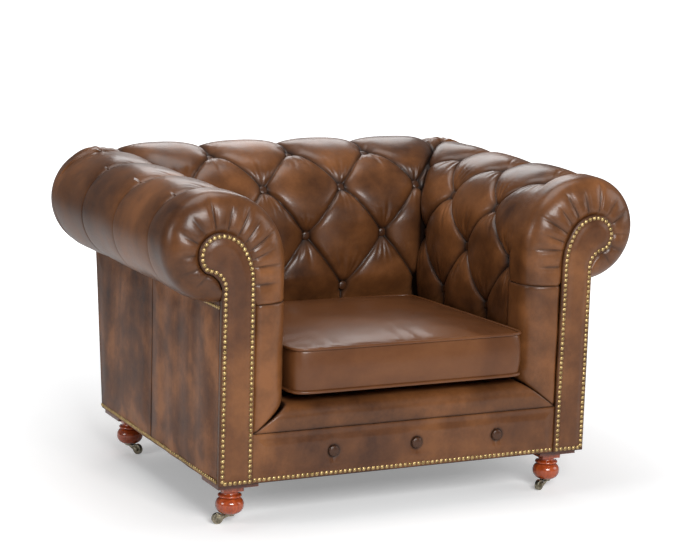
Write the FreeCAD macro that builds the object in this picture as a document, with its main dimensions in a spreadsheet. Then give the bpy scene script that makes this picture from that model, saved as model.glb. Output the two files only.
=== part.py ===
import FreeCAD, Part
import math
import os
import re

# Deep-buttoned club armchair with rolled arms, on four swivel casters.
# Millimetres, +Z up, the front faces -Y. The origin lies on the floor under the middle of the chair.

SIZES = {
    # overall frame of the chair
    "base_half": 460.0,
    "front_plane": -434.0,
    "base_bottom": 105.0,
    "leather": 2.4,
    "dust_cloth": 1.0,
    "gap": 0.3,
    # outside panels
    "panel_drop": 121.5,
    "back_panel_drop": 116.5,
    "back_foot": 753.0,
    "back_lean": 7.9,
    "panel_seam": 413.0,
    # arm roll, as seen from the front
    "arm_width": 162.0,
    "arm_overhang": 5.0,
    "arm_arc_drop": 47.0,
    "arm_roll_z": 625.0,
    "arm_roll_radius": 120.0,
    "arm_pad": 38.0,
    # back roll, as seen from the side
    "back_width": 203.0,
    "back_arc_inset": 3.0,
    "back_arc_drop": 72.0,
    "back_rise": 4.0,
    "back_roll_radius": 128.0,
    "back_pad": 44.0,
    "corner_radius": 121.0,
    "arm_tuck": 8.0,
    "back_tuck": 30.0,
    # deep buttoning
    "tuft_pitch": 211.0,
    "back_pitch": 209.0,
    "first_button": 130.0,
    "button_depth": 30.0,
    "pleat_depth": 14.0,
    "over_pleat": 9.0,
    "seat_half": 8.0,
    "arm_row_top": 213.0,
    "arm_row_two": 83.0,
    "arm_row_three": -40.0,
    "arm_row_four": -165.0,
    "back_row_top": 247.0,
    "back_row_two": 116.0,
    "back_row_three": -17.0,
    "back_row_four": -146.0,
    "front_round": 60.0,
    "front_drop": 56.0,
    "tuft_button_radius": 11.0,
    "border_button_radius": 12.5,
    "button_thick": 6.0,
    "border_button_pitch": 207.0,
    "border_button_x": 21.0,
    "border_button_z": 161.0,
    # scroll facings
    "scroll_width": 78.0,
    "scroll_overhang": 7.0,
    "scroll_drop": 13.0,
    "scroll_radius": 48.0,
    "neck_drop": 77.0,
    "shoulder_drop": 35.0,
    "scroll_shoulder_radius": 70.5,
    "board_thick": 12.0,
    # plain border round the seat opening
    "strip_drop": 125.0,
    "strip_depth": 100.0,
    "strip_round": 32.0,
    "lip_top": 275.0,
    "lip_bottom": 214.0,
    "lip_depth": 92.0,
    "lip_bulge": 4.0,
    "border_face": 6.0,
    # wooden frame
    "rail_bottom": 105.3,
    "rail_height": 108.0,
    "rail_thick": 28.0,
    "post_width": 60.0,
    "post_depth": 40.0,
    "post_inset": 2.8,
    "back_post_inset": 48.0,
    "top_rail_radius": 46.0,
    "flat_drop": 40.0,
    "rail_offset": 2.0,
    "tack_rail_bottom": 236.0,
    "tack_rail_height": 48.0,
    "tack_rail_thick": 24.0,
    "upright_width": 42.0,
    "upright_offset": 150.0,
    "block_leg": 70.0,
    "block_height": 60.0,
    # webbing
    "web_width": 40.0,
    "web_thick": 1.6,
    "web_first": 315.0,
    "web_pitch": 86.0,
    # seat suspension and deck
    "seat_slope": 1.7,
    "spring_count": 6.0,
    "spring_pitch": 92.0,
    "spring_wire": 1.9,
    "spring_half": 24.0,
    "spring_turns": 12.0,
    "spring_z": 200.0,
    "clip_width": 18.0,
    "clip_depth": 6.0,
    "clip_height": 12.0,
    "hessian_thick": 2.0,
    "deck_play": 2.0,
    "deck_tuck": 24.0,
    # loose seat cushion
    "cushion_play": 12.0,
    "cushion_front": -3.0,
    "cushion_tuck": 12.0,
    "cushion_bottom": 297.0,
    "cushion_height": 99.0,
    "cushion_crown": 26.0,
    "cushion_bow": 5.0,
    "piping_radius": 3.2,
    # brass nails
    "nail_radius": 4.8,
    "nail_height": 2.6,
    "nail_pitch": 11.5,
    "nail_inset": 7.0,
    # feet
    "foot_inset": 54.6,
    "front_foot_y": 69.6,
    "rear_foot_inset": 56.7,
    "plate_side": 95.0,
    "plate_thick": 11.0,
    "neck_side": 48.0,
    "neck_height": 15.0,
    "ring_radius": 25.0,
    "bun_radius": 31.5,
    "bun_bottom": 24.0,
    "bun_top": 61.0,
    "bolt_radius": 4.0,
    "bolt_length": 84.0,
    # casters
    "stem_radius": 4.0,
    "stem_length": 34.0,
    "stem_play": 0.05,
    "socket_radius": 6.0,
    "socket_plate": 14.0,
    "socket_thick": 2.0,
    "wheel_radius": 12.5,
    "wheel_width": 11.0,
    "axle_radius": 2.5,
    "axle_play": 0.05,
    "fork_thick": 2.2,
    "fork_play": 0.6,
    "caster_trail": 27.0,
    "hub_side_play": 0.3,
}

# Places that follow from a size or another place: what each is measured from, which way, and how far
PLACES = {
    "arm_face": ("base_half", -1, "arm_width"),
    "arm_arc_x": ("base_half", 1, "arm_overhang"),
    "arm_arc_z": ("arm_roll_z", -1, "arm_arc_drop"),
    "back_face": ("back_foot", -1, "back_width"),
    "back_arc_y": ("back_foot", -1, "back_arc_inset"),
    "back_arc_z": ("back_roll_z", -1, "back_arc_drop"),
    "back_roll_z": ("arm_roll_z", 1, "back_rise"),
    "panel_top": ("arm_roll_z", -1, "panel_drop"),
    "back_panel_top": ("back_roll_z", -1, "back_panel_drop"),
    "scroll_inner": ("base_half", -1, "scroll_width"),
    "scroll_x": ("base_half", 1, "scroll_overhang"),
    "scroll_z": ("arm_roll_z", -1, "scroll_drop"),
    "scroll_neck": ("arm_roll_z", -1, "neck_drop"),
    "scroll_shoulder_z": ("arm_roll_z", -1, "shoulder_drop"),
    "strip_top": ("arm_roll_z", -1, "strip_drop"),
    "post_outer": ("base_half", -1, "post_inset"),
    "back_post_front": ("back_foot", -1, "back_post_inset"),
    "top_rail_flat": ("scroll_z", -1, "flat_drop"),
    "deck_half": ("arm_face", -1, "deck_play"),
    "deck_rear": ("back_face", 1, "deck_tuck"),
    "cushion_half": ("arm_face", -1, "cushion_play"),
    "cushion_rear": ("back_face", 1, "cushion_tuck"),
    "foot_x": ("base_half", -1, "foot_inset"),
    "rear_foot_y": ("back_foot", -1, "rear_foot_inset"),
}

doc = FreeCAD.newDocument("armchair")
sheet = doc.addObject("Spreadsheet::Sheet", "sizes")
for row, (alias, number) in enumerate(SIZES.items(), start=1):
    sheet.set("A%d" % row, alias)
    sheet.set("B%d" % row, str(number))
    sheet.setAlias("B%d" % row, alias)
doc.recompute()


def size(alias):
    """The number that the sheet holds under this name, or the place worked out from such numbers."""
    if alias in PLACES:
        start, way, distance = PLACES[alias]
        return size(start) + way * size(distance)
    return float(sheet.get(alias))


def spelled(word):
    """The cell that a word names, or the formula of a place in such cells."""
    if word in PLACES:
        start, way, distance = PLACES[word]
        return "(%s %s %s)" % (spelled(start), "+" if way > 0 else "-", spelled(distance))
    return "sizes." + word


def bound(text):
    """An expression in which each plain word is a cell of the sheet or a place that follows from cells."""
    return re.sub(r"[a-z][a-z_]+", lambda found: spelled(found.group(0)), text)


nodes = {}


def keep(label, thing):
    """Give a finished sub-part its label and list it for the export."""
    thing.Label = label
    nodes[label] = thing
    return thing


def box(name, x, y, z, length, width, height):
    """A rectangular block from its low corner and its three sides."""
    block = doc.addObject("Part::Box", name)
    for prop, text in (("Length", length), ("Width", width), ("Height", height),
                       ("Placement.Base.x", x), ("Placement.Base.y", y), ("Placement.Base.z", z)):
        block.setExpression(prop, bound(text))
    return block


def rod(name, x, y, z, radius, height):
    """An upright round bar from the centre of its lower end."""
    bar = doc.addObject("Part::Cylinder", name)
    for prop, text in (("Radius", radius), ("Height", height),
                       ("Placement.Base.x", x), ("Placement.Base.y", y), ("Placement.Base.z", z)):
        bar.setExpression(prop, bound(text))
    return bar


def group(label, things):
    """Separate solids that share one node."""
    bundle = doc.addObject("Part::Compound", label)
    bundle.Links = things
    return keep(label, bundle)


def cut(name, base, tool):
    result = doc.addObject("Part::Cut", name)
    result.Base = base
    result.Tool = tool
    return result


def feature(name, shape):
    """A piece whose form is worked out here from the sheet's values."""
    piece = doc.addObject("Part::Feature", name)
    piece.Shape = shape
    return piece


def form(label, shape):
    return keep(label, feature(label, shape))


def vec(x, y, z):
    return FreeCAD.Vector(x, y, z)


def arc(first, middle, last):
    return Part.Arc(first, middle, last).toShape()


def line(first, last):
    return Part.LineSegment(first, last).toShape()


def prism(points, along):
    """A straight prism over a closed outline of corner points."""
    outline = Part.makePolygon(points + [points[0]])
    return Part.Face(outline).extrude(along)


def mirrored(shape):
    """The same form on the other side of the chair's middle plane."""
    return shape.mirror(vec(0, 0, 0), vec(1, 0, 0))


FRONT = size("front_plane")
HALF = size("base_half")
GAP = size("gap")
SKIN = size("leather")
LEAN = math.tan(math.radians(size("back_lean")))
# a length greater than any of the chair's
BEYOND = 1500.0


def back_plane(z):
    """Y of the outside back leather at height z, which leans backwards."""
    return FRONT + size("back_foot") + (z - size("base_bottom")) * LEAN


# Profiles of the padded arm and back


class Roll:
    """A rolled arm or back in section: reach is the way from the seat towards the outside, and a
    place on its outer line is found by the length of that line from the foot of the inner arc."""

    def __init__(self, face, arc_reach, arc_z, roll_z, roll_radius, end_reach):
        self.face = face
        self.arc_reach = arc_reach
        self.arc_z = arc_z
        self.roll_z = roll_z
        self.roll_radius = roll_radius
        self.inner_radius = arc_reach - face
        self.inner_length = self.inner_radius * math.pi / 2
        self.end_angle = math.pi - math.asin((end_reach - arc_reach) / roll_radius)
        self.rise = roll_z + roll_radius - arc_z - self.inner_radius

    def at(self, along, depth):
        """Reach and height of the point at this length of the line and depth under it."""
        if along <= 0:
            return self.face + depth, self.arc_z + along
        if along <= self.inner_length:
            turn = along / self.inner_radius
            radius = self.inner_radius - depth
            share = math.sin(turn)
            return (self.arc_reach - radius * math.cos(turn),
                    self.arc_z + (radius + self.rise) * share)
        turn = (along - self.inner_length) / self.roll_radius
        radius = self.roll_radius - depth
        return (self.arc_reach + radius * math.sin(turn),
                self.roll_z + radius * math.cos(turn))

    def outer(self, degrees, depth):
        """A point of the outside half, by its turn from the ridge."""
        return self.at(self.inner_length + math.radians(degrees) * self.roll_radius + 1e-6, depth)


arm_roll = Roll(size("arm_face"), size("arm_arc_x"), size("arm_arc_z"), size("arm_roll_z"),
                size("arm_roll_radius"), HALF + GAP)
back_end = back_plane(size("back_panel_top")) - FRONT
back_roll = Roll(size("back_face"), size("back_arc_y"), size("back_arc_z"), size("back_roll_z"),
                 size("back_roll_radius"), back_end)


def between(low, high, share):
    return low + (high - low) * share


def tuft_edges(roll, rows, phase, strength, inset, place):
    """One slice of a buttoned roll as arcs from the seat deck over the ridge to the outer end.

    phase is 0 on a slice through the first and third rows of buttons and 1 through the others.
    strength fades the buttons and pleats, and inset draws the whole slice inwards."""
    top, two, three, four = rows
    pocket = size("seat_half")
    depth = size("button_depth") * strength
    pleat = size("pleat_depth") * strength
    dip = between(pleat, depth, abs(2 * phase - 1) ** 1.5)
    swell_low = depth * (1 - math.sqrt(1 - (1 - phase) ** 2))
    swell_high = depth * (1 - math.sqrt(1 - phase ** 2))
    crease = max(0.0, 1 - 2 * phase) ** 1.5
    over = size("over_pleat") * strength * crease
    low = between(three - pocket, four + pocket, phase)
    middle = between(three + pocket, two - pocket, phase)
    high = between(top - pocket, two + pocket, phase)
    ridge = top + pocket
    ridge_depth = depth * crease
    end = roll.inner_length + roll.end_angle * roll.roll_radius
    start = roll.foot - roll.arc_z
    tuck = roll.tuck * strength
    tuck_depth = between(tuck * 0.8, dip, phase)
    knots = [(start, tuck), (four - pocket, tuck_depth), (low, dip), (middle, dip), (high, dip)]
    knots.append((ridge, ridge_depth))
    mids = [tuck, max(swell_high, tuck * 0.3), swell_low, swell_high, swell_low]
    steps = 4
    for step in range(1, steps + 1):
        share = step / steps
        knots.append((between(ridge, end, share), over * (1 - 0.7 * share)))
        mids.append(over * (1 - 0.7 * (share - 0.5 / steps)) * 0.8)
    edges = []
    for number, (first, last) in enumerate(zip(knots, knots[1:])):
        ends = [place(*roll.at(s, d + inset)) for s, d in (first, last)]
        middle_depth = mids[number] + inset - 1.0
        centre = place(*roll.at((first[0] + last[0]) / 2, middle_depth))
        edges.append(arc(ends[0], centre, ends[1]))
    return edges, roll.at(end, knots[-1][1] + inset), roll.at(start, knots[0][1] + inset)


def tuft_slice(roll, rows, phase, strength, inset, place):
    """A closed slice: the buttoned line and a straight way back through the core."""
    edges, last, first = tuft_edges(roll, rows, phase, strength, inset, place)
    inner = (roll.core_reach, roll.core_z)
    foot = (roll.core_reach, first[1])
    edges.append(line(place(*last), place(*inner)))
    edges.append(line(place(*inner), place(*foot)))
    edges.append(line(place(*foot), place(*first)))
    return Part.Wire(edges)


def ramp(value, low, high):
    share = min(1.0, max(0.0, (value - low) / (high - low)))
    return share * share * (3 - 2 * share)


def arm_phase(station):
    """Where a slice lies between two rows of buttons, from 0 to 1 and back."""
    half = size("tuft_pitch") / 2
    turn = abs(station - size("first_button")) / half % 2
    return turn if turn <= 1 else 2 - turn


def back_phase(station):
    half = size("back_pitch") / 2
    turn = abs(station) / half % 2
    return turn if turn <= 1 else 2 - turn


arm_rows = [size("arm_row_" + word) for word in ("top", "two", "three", "four")]
back_rows = [size("back_row_" + word) for word in ("top", "two", "three", "four")]
deck_foot = size("tack_rail_bottom")
arm_roll.foot = deck_foot
back_roll.foot = deck_foot
arm_roll.tuck = size("arm_tuck")
back_roll.tuck = size("back_tuck")
arm_roll.core_reach = HALF - 10
arm_roll.core_z = size("scroll_z") - 40
back_roll.core_reach = size("back_arc_y") + 15
back_roll.core_z = size("scroll_z") - 30


def arm_place(y):
    return lambda reach, z: vec(reach, FRONT + y, z)


def back_place(x):
    return lambda reach, z: vec(x, FRONT + reach, z)


def arm_form():
    """Padded arm from its rounded front to the back roll's middle, buttoned from the first button on."""
    first = size("first_button")
    quarter = size("tuft_pitch") / 8
    rounding = size("front_round")
    stations = [rounding * (1 - math.cos(math.radians(turn))) for turn in (0, 30, 55, 75, 90)]
    count = int((first - rounding) / quarter)
    closest = rounding + 4
    before = [first - quarter * step for step in range(count, 0, -1)]
    stations += [station for station in before if station > closest]
    count = int((size("back_arc_y") - first) / quarter)
    stations += [first + quarter * step for step in range(0, count + 1)]
    stations.append(size("back_arc_y") - GAP / 2)
    slices = []
    for y in stations:
        strength = max(0.03, ramp(y, rounding - 20, first))
        turn = min(1.0, y / rounding)
        inset = size("front_drop") * (1 - math.sqrt(max(0.0, 1 - (1 - turn) ** 2)))
        slices.append(tuft_slice(arm_roll, arm_rows, arm_phase(y), strength, inset, arm_place(y)))
    return Part.makeLoft(slices, True, True)


def back_form():
    """Padded back from one arm roll's middle to the other, buttoned all along."""
    quarter = size("back_pitch") / 8
    reach = size("arm_arc_x") - GAP / 2
    count = int(reach / quarter)
    stations = [quarter * step for step in range(-count, count + 1)]
    stations = [-reach] + stations + [reach]
    slices = [tuft_slice(back_roll, back_rows, back_phase(x), 1.0, 0.0, back_place(x)) for x in stations]
    return Part.makeLoft(slices, True, True)


def ring_outline(roll, pad, z_low, place):
    """The line under the cover: a straight inner face, two arcs over the top and the outer end."""
    face = roll.face + pad
    inner = roll.inner_radius - pad
    outer = roll.roll_radius - pad
    ridge = roll.roll_z + outer
    centre = roll.arc_reach
    corner = 1 - math.sqrt(0.5)
    end = roll.end_angle
    mid_turn = end / 2
    last = (centre + outer * math.sin(end), roll.roll_z + outer * math.cos(end))
    rise = ridge - roll.arc_z
    elbow = (face + inner * corner, ridge - rise * corner)
    half = (centre + outer * math.sin(mid_turn), roll.roll_z + outer * math.cos(mid_turn))
    return [
        line(place(face, z_low), place(face, roll.arc_z)),
        arc(place(face, roll.arc_z), place(*elbow), place(centre, ridge)),
        arc(place(centre, ridge), place(*half), place(*last)),
    ], last


def under_cover(roll, pad, first, last, place_at, along, below=60.0):
    """Everything under a cover as one prism, from station first to station last."""
    place = place_at(first)
    low = roll.foot - below
    edges, end = ring_outline(roll, pad, low, place)
    far = roll.far_reach
    edges.append(line(place(*end), place(far, end[1])))
    edges.append(line(place(far, end[1]), place(far, low)))
    edges.append(line(place(far, low), place(roll.face + pad, low)))
    return Part.Face(Part.Wire(edges)).extrude(along * (last - first))


arm_roll.far_reach = HALF + GAP
back_roll.far_reach = back_end
ALONG_Y = vec(0, 1, 0)
ALONG_X = vec(1, 0, 0)
BACK_MID = size("back_arc_y")
BOARD_BACK = SKIN + size("board_thick") + 2 * GAP
ARM_MID = size("arm_arc_x")


def mitre(for_arm, half_gap):
    """The wedge cut from an arm or the back where they meet behind the seat."""
    inner = vec(size("arm_face"), FRONT + size("back_face"), 0)
    outer = vec(ARM_MID, FRONT + BACK_MID, 0)
    way = outer - inner
    way.normalize()
    side = vec(way.y, -way.x, 0) * (half_gap if for_arm else -half_gap)
    low = inner - way * 120 + side
    high = outer + way * 200 + side
    third = vec(low.x, high.y, 0) if for_arm else vec(high.x, low.y, 0)
    wedge = prism([low, high, third], vec(0, 0, BEYOND))
    if for_arm:
        keep_in = Part.makeBox(ARM_MID, 2 * BEYOND, BEYOND, vec(0, -BEYOND, 0))
    else:
        keep_in = Part.makeBox(BEYOND, FRONT + BACK_MID + BEYOND, BEYOND, vec(0, -BEYOND, 0))
    return wedge.common(keep_in)


def button_places():
    """Place, outward direction and slot of every tufting button of the right arm and of the back."""
    arm_spots = []
    pitch = size("tuft_pitch")
    first = size("first_button")
    for number in range(3):
        for row in (0, 2):
            arm_spots.append((first + pitch * number, arm_rows[row]))
    for number in range(2):
        for row in (1, 3):
            arm_spots.append((first + pitch * (number + 0.5), arm_rows[row]))
    back_spots = []
    for number in (-1, 0, 1):
        for row in (0, 2):
            back_spots.append((size("back_pitch") * number, back_rows[row]))
    for number in (-0.5, 0.5):
        for row in (1, 3):
            back_spots.append((size("back_pitch") * number, back_rows[row]))
    return arm_spots, back_spots


arm_spots, back_spots = button_places()


def plug(roll, along, place, radius, low, high):
    """A round plug square to the roll's surface, between two depths under it."""
    base = place(*roll.at(along, high))
    top = place(*roll.at(along, low))
    return Part.makeCylinder(radius, (top - base).Length, base, top - base)


def domed(radius, side, rise):
    """A round head standing on the origin: an upright side under a cap that is part of a ball."""
    ball = (radius * radius + rise * rise) / (2 * rise)
    turn = math.asin(radius / ball) / 2
    shoulder = vec(radius, 0, side)
    crest = vec(0, 0, side + rise)
    middle = vec(ball * math.sin(turn), 0, side + rise - ball + ball * math.cos(turn))
    edges = [line(vec(0, 0, 0), vec(radius, 0, 0)), arc(shoulder, middle, crest), line(crest, vec(0, 0, 0))]
    if side > 0:
        edges.insert(1, line(vec(radius, 0, 0), shoulder))
    return Part.Face(Part.Wire(edges)).revolve(vec(0, 0, 0), vec(0, 0, 1), 360)


def facing(shape, place, outward):
    """A copy of a head that stands at a place and looks a given way."""
    head = shape.copy()
    head.Placement = FreeCAD.Placement(place, FreeCAD.Rotation(vec(0, 0, 1), outward))
    return head


def button(roll, along, place, radius):
    """A covered button at the bottom of its pocket."""
    half = size("button_thick") / 2
    base = place(*roll.at(along, size("button_depth") - 0.2))
    top = place(*roll.at(along, 0.0))
    return facing(domed(radius, half, half), base, top - base)


def with_pockets(shape, roll, spots, place_at):
    """Cut the round seat of each button into a cover."""
    radius = size("tuft_button_radius") + 1.0
    for station, along in spots:
        pocket = plug(roll, along, place_at(station), radius, -30.0, size("button_depth"))
        shape = shape.cut(pocket)
    return shape


def largest(shape):
    """The one solid that matters when a cut leaves loose shavings."""
    return max(shape.Solids, key=lambda solid: solid.Volume)


# Leather covers of the arms and the back, each with the fibre quilted behind it


def strip_room(clear):
    """The notch that the plain border strip fills at the front of an arm."""
    return Part.makeBox(HALF, 10 + size("strip_depth") + clear, size("strip_top") + clear,
                        vec(0, FRONT - 10, 0))


def arm_cover():
    cover = arm_form()
    core = under_cover(arm_roll, size("arm_pad"), BOARD_BACK, BACK_MID + 10, arm_place, ALONG_Y)
    cover = cover.cut(core)
    cover = cover.cut(mitre(True, GAP / 2))
    cover = cover.cut(strip_room(GAP))
    scroll = scroll_shape(GAP, -5, BOARD_BACK)
    cover = cover.cut(scroll)
    cover = with_pockets(cover, arm_roll, arm_spots, arm_place)
    return largest(cover)


def back_cover():
    cover = back_form()
    core = under_cover(back_roll, size("back_pad"), -ARM_MID - 10, ARM_MID + 10, back_place, ALONG_X)
    cover = cover.cut(core)
    wedge = mitre(False, GAP / 2)
    cover = cover.cut(wedge)
    cover = cover.cut(mirrored(wedge))
    cover = with_pockets(cover, back_roll, back_spots, back_place)
    return largest(cover)


def scroll_outline(inset, y):
    """The arm front's scroll: a straight column that swells into a round head turned outwards."""
    low = size("base_bottom") + inset
    right = HALF - inset
    left = size("scroll_inner") + inset
    centre_x = size("scroll_x")
    centre_z = size("scroll_z")
    radius = size("scroll_radius") - inset
    neck = size("scroll_neck")

    def p(x, z):
        return vec(x, FRONT + y, z)

    def on_head(degrees):
        turn = math.radians(degrees)
        return p(centre_x + radius * math.cos(turn), centre_z + radius * math.sin(turn))

    crest_z = size("scroll_shoulder_z")
    crest = size("scroll_shoulder_radius") - inset

    def on_crest(degrees):
        turn = math.radians(degrees)
        return p(centre_x + crest * math.cos(turn), crest_z + crest * math.sin(turn))

    foot = on_head(-50)
    lower = p(right, neck - 13)
    top = on_crest(90)
    shoulder = on_crest(147)
    return Part.Wire([
        line(p(left, low), p(right, low)),
        line(p(right, low), lower),
        arc(lower, p(right + 13.5 - inset * 0.3, neck + 15 + inset * 0.8), foot),
        arc(foot, on_head(10), on_head(70)),
        arc(on_head(70), on_head(82), top),
        arc(top, on_crest(118), shoulder),
        arc(shoulder, p(left + 8.5, neck + 42), p(left + 2, neck)),
        line(p(left + 2, neck), p(left, low)),
    ])


def scroll_shape(outset, first, last):
    """The scroll as a slab of even thickness, from one depth to another."""
    return Part.Face(scroll_outline(-outset, first)).extrude(vec(0, last - first, 0))


def corner_cover():
    """Quarter turn of the outside half roll, where the arm roll runs into the back roll."""
    radius = size("corner_radius")
    roll_z = (size("arm_roll_z") + size("back_roll_z")) / 2
    inner = size("top_rail_radius") + GAP

    def p(reach, z):
        return vec(reach, 0, z)

    top = p(0, roll_z + radius)
    far = p(radius, roll_z)
    low = p(0, roll_z - radius)
    edges = [
        arc(top, p(radius * math.sin(math.pi / 4), roll_z + radius * math.cos(math.pi / 4)), far),
        arc(far, p(radius * math.sin(math.pi / 4), roll_z - radius * math.cos(math.pi / 4)), low),
        line(low, p(0, roll_z - inner)),
        line(p(0, roll_z - inner), p(inner, roll_z - inner)),
        line(p(inner, roll_z - inner), p(inner, roll_z + inner)),
        line(p(inner, roll_z + inner), p(0, roll_z + inner)),
        line(p(0, roll_z + inner), top),
    ]
    face = Part.Face(Part.Wire(edges))
    quarter = face.revolve(vec(0, 0, 0), vec(0, 0, 1), 90)
    quarter.translate(vec(ARM_MID + GAP / 2, FRONT + BACK_MID + GAP / 2, 0))
    return quarter


right_arm_cover = arm_cover()
form("right_arm_cover", right_arm_cover)
form("left_arm_cover", mirrored(right_arm_cover))
form("back_cover", back_cover())
right_corner = corner_cover()
form("right_corner_cover", right_corner)
form("left_corner_cover", mirrored(right_corner))

# Padding under the covers

ARM_WEB = size("post_outer") - size("post_width") - size("web_thick") - 2 * GAP
BACK_RAIL = BACK_MID + size("rail_offset")


def arm_rail_room():
    """The right arm's round top rail with a little room round it."""
    return Part.makeCylinder(size("top_rail_radius") + GAP, BACK_MID + 10,
                             vec(size("scroll_x"), FRONT - 10, size("scroll_z")), ALONG_Y)


def arm_foam():
    foam = under_cover(arm_roll, size("arm_pad") + GAP, BOARD_BACK + GAP, BACK_MID - GAP, arm_place,
                       ALONG_Y, 0.0)
    hollow = Part.makeBox(HALF, BEYOND, size("top_rail_flat"), vec(ARM_WEB, FRONT - 10, 0))
    for room in (hollow, arm_rail_room(), strip_room(2 * GAP), mitre(True, GAP)):
        foam = foam.cut(room)
    return largest(foam)


def back_foam():
    reach = ARM_MID - GAP
    foam = under_cover(back_roll, size("back_pad") + GAP, -reach, reach, back_place, ALONG_X, 0.0)
    web_face = size("back_post_front") - size("web_thick") - 2 * GAP
    hollow = Part.makeBox(BEYOND, BEYOND, size("top_rail_flat"), vec(-BEYOND / 2, FRONT + web_face, 0))
    rail = Part.makeCylinder(size("top_rail_radius") + GAP, BEYOND,
                             vec(-BEYOND / 2, FRONT + BACK_RAIL, size("scroll_z")), ALONG_X)
    foam = foam.cut(hollow).cut(rail)
    beside = Part.makeBox(HALF, BACK_MID, size("top_rail_flat"), vec(ARM_WEB, FRONT, 0))
    for room in (mitre(False, GAP), arm_rail_room(), beside):
        foam = foam.cut(room).cut(mirrored(room))
    return largest(foam)


right_arm_foam = arm_foam()
form("right_arm_foam", right_arm_foam)
form("left_arm_foam", mirrored(right_arm_foam))
form("back_foam", back_foam())

# Plain border round the seat opening: a lip under the cushion and a strip up each arm front


def strip_outline(inset, z):
    """Plan of the right strip: padded front, rounded inner corner, straight inner face."""
    right = size("scroll_inner") - GAP - inset
    left = size("arm_face") + inset
    rear = size("strip_depth") - inset
    front = size("lip_bulge") * -1 + inset
    bend = size("strip_round") - inset
    diagonal = bend * (1 - math.sqrt(0.5))
    side = 3.0 + inset

    def p(x, y):
        return vec(x, FRONT + y, z)

    middle = (left + bend + right) / 2
    return Part.Wire([
        arc(p(right, side), p(middle, front), p(left + bend, side - 2)),
        arc(p(left + bend, side - 2), p(left + diagonal, side - 2 + diagonal), p(left, side - 2 + bend)),
        line(p(left, side - 2 + bend), p(left, rear)),
        line(p(left, rear), p(right, rear)),
        line(p(right, rear), p(right, side)),
    ])


def lip_outline(inset, x):
    """Section of the lip: padded front, rounded upper edge, flat top."""
    low = size("lip_bottom") + inset
    top = size("lip_top") - inset
    rear = size("lip_depth") - inset
    front = -size("lip_bulge") + inset
    side = 3.0 + inset
    bend = (top - low) * 0.45

    def p(y, z):
        return vec(x, FRONT + y, z)

    diagonal = bend * (1 - math.sqrt(0.5))
    shoulder = top - bend
    return Part.Wire([
        arc(p(side, low), p(front, (low + shoulder) / 2), p(side - 2, shoulder)),
        arc(p(side - 2, shoulder), p(side - 2 + diagonal, top - diagonal), p(side - 2 + bend, top)),
        line(p(side - 2 + bend, top), p(rear, top)),
        line(p(rear, top), p(rear, low)),
        line(p(rear, low), p(side, low)),
    ])


def lip_mitre(shift):
    """Everything on the strip's side of the right mitre."""
    inner = vec(size("arm_face"), FRONT - 50, size("lip_top"))
    outer = vec(size("scroll_inner"), FRONT - 50, size("lip_bottom"))
    way = outer - inner
    way.normalize()
    side = vec(-way.z, 0, way.x) * shift
    low = outer + way * 60 + side
    high = inner - way * 60 + side
    return prism([low, high, high + vec(0, 0, BEYOND), low + vec(0, 0, BEYOND)], vec(0, BEYOND, 0))


def strip_form(inset):
    low = size("lip_bottom")
    top = size("strip_top") - inset
    whole = Part.Face(strip_outline(inset, low)).extrude(vec(0, 0, top - low))
    return largest(whole.common(lip_mitre(GAP / 2 + inset)))


def lip_form(inset):
    reach = size("scroll_inner") - GAP - inset
    whole = Part.Face(lip_outline(inset, -reach)).extrude(vec(2 * reach, 0, 0))
    right_side = lip_mitre(-GAP / 2 - inset)
    return largest(whole.cut(right_side).cut(mirrored(right_side)))


strip_foam = strip_form(SKIN + GAP)
right_strip = strip_form(0).cut(strip_form(SKIN))
form("right_arm_border", right_strip)
form("left_arm_border", mirrored(right_strip))
form("front_lip", lip_form(0).cut(lip_form(SKIN)))
form("border_foam", Part.makeCompound([lip_form(SKIN + GAP), strip_foam, mirrored(strip_foam)]))

# Front border under the lip, leather over felt

keep("front_border", box("front_border", "-scroll_inner + gap", "front_plane + border_face", "base_bottom",
                         "2 * (scroll_inner - gap)", "leather + board_thick - border_face",
                         "lip_bottom - gap - base_bottom"))

# Scroll facings: plywood boards under leather


def scroll_pair(what, outset, first, last):
    right = scroll_shape(outset, first, last)
    form("right_" + what, right)
    form("left_" + what, mirrored(right))


scroll_pair("scroll_facing", 0, 0, SKIN)
scroll_pair("scroll_board", -0.5, SKIN + GAP / 2, SKIN + GAP / 2 + size("board_thick"))

# Outside leather: two panels a side with a seam, one across the leaning back


def side_panel(first_y, last_y):
    """A flat panel whose rear edge is upright, or leans with the back where last_y is None."""
    low = size("base_bottom")
    top = size("panel_top")
    x = HALF - SKIN
    low_end = back_plane(low) if last_y is None else FRONT + last_y
    top_end = back_plane(top) if last_y is None else FRONT + last_y
    corners = [vec(x, FRONT + first_y, low), vec(x, low_end, low), vec(x, top_end, top),
               vec(x, FRONT + first_y, top)]
    return prism(corners, vec(SKIN, 0, 0))


seam = size("panel_seam")
right_panels = [side_panel(BOARD_BACK, seam - GAP / 2), side_panel(seam + GAP / 2, None)]
form("right_outside_panels", Part.makeCompound(right_panels))
form("left_outside_panels", Part.makeCompound([mirrored(panel) for panel in right_panels]))


def back_panel():
    low = size("base_bottom")
    top = size("back_panel_top")
    x = -(HALF - SKIN - GAP)
    corners = [vec(x, back_plane(low) - SKIN, low), vec(x, back_plane(low), low),
               vec(x, back_plane(top), top), vec(x, back_plane(top) - SKIN, top)]
    return prism(corners, vec(-2 * x, 0, 0))


form("outside_back_panel", back_panel())

# Hardwood frame


def pair(label, make):
    """The same block on both sides of the chair."""
    return group(label, [make("left", -1), make("right", 1)])


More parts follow.
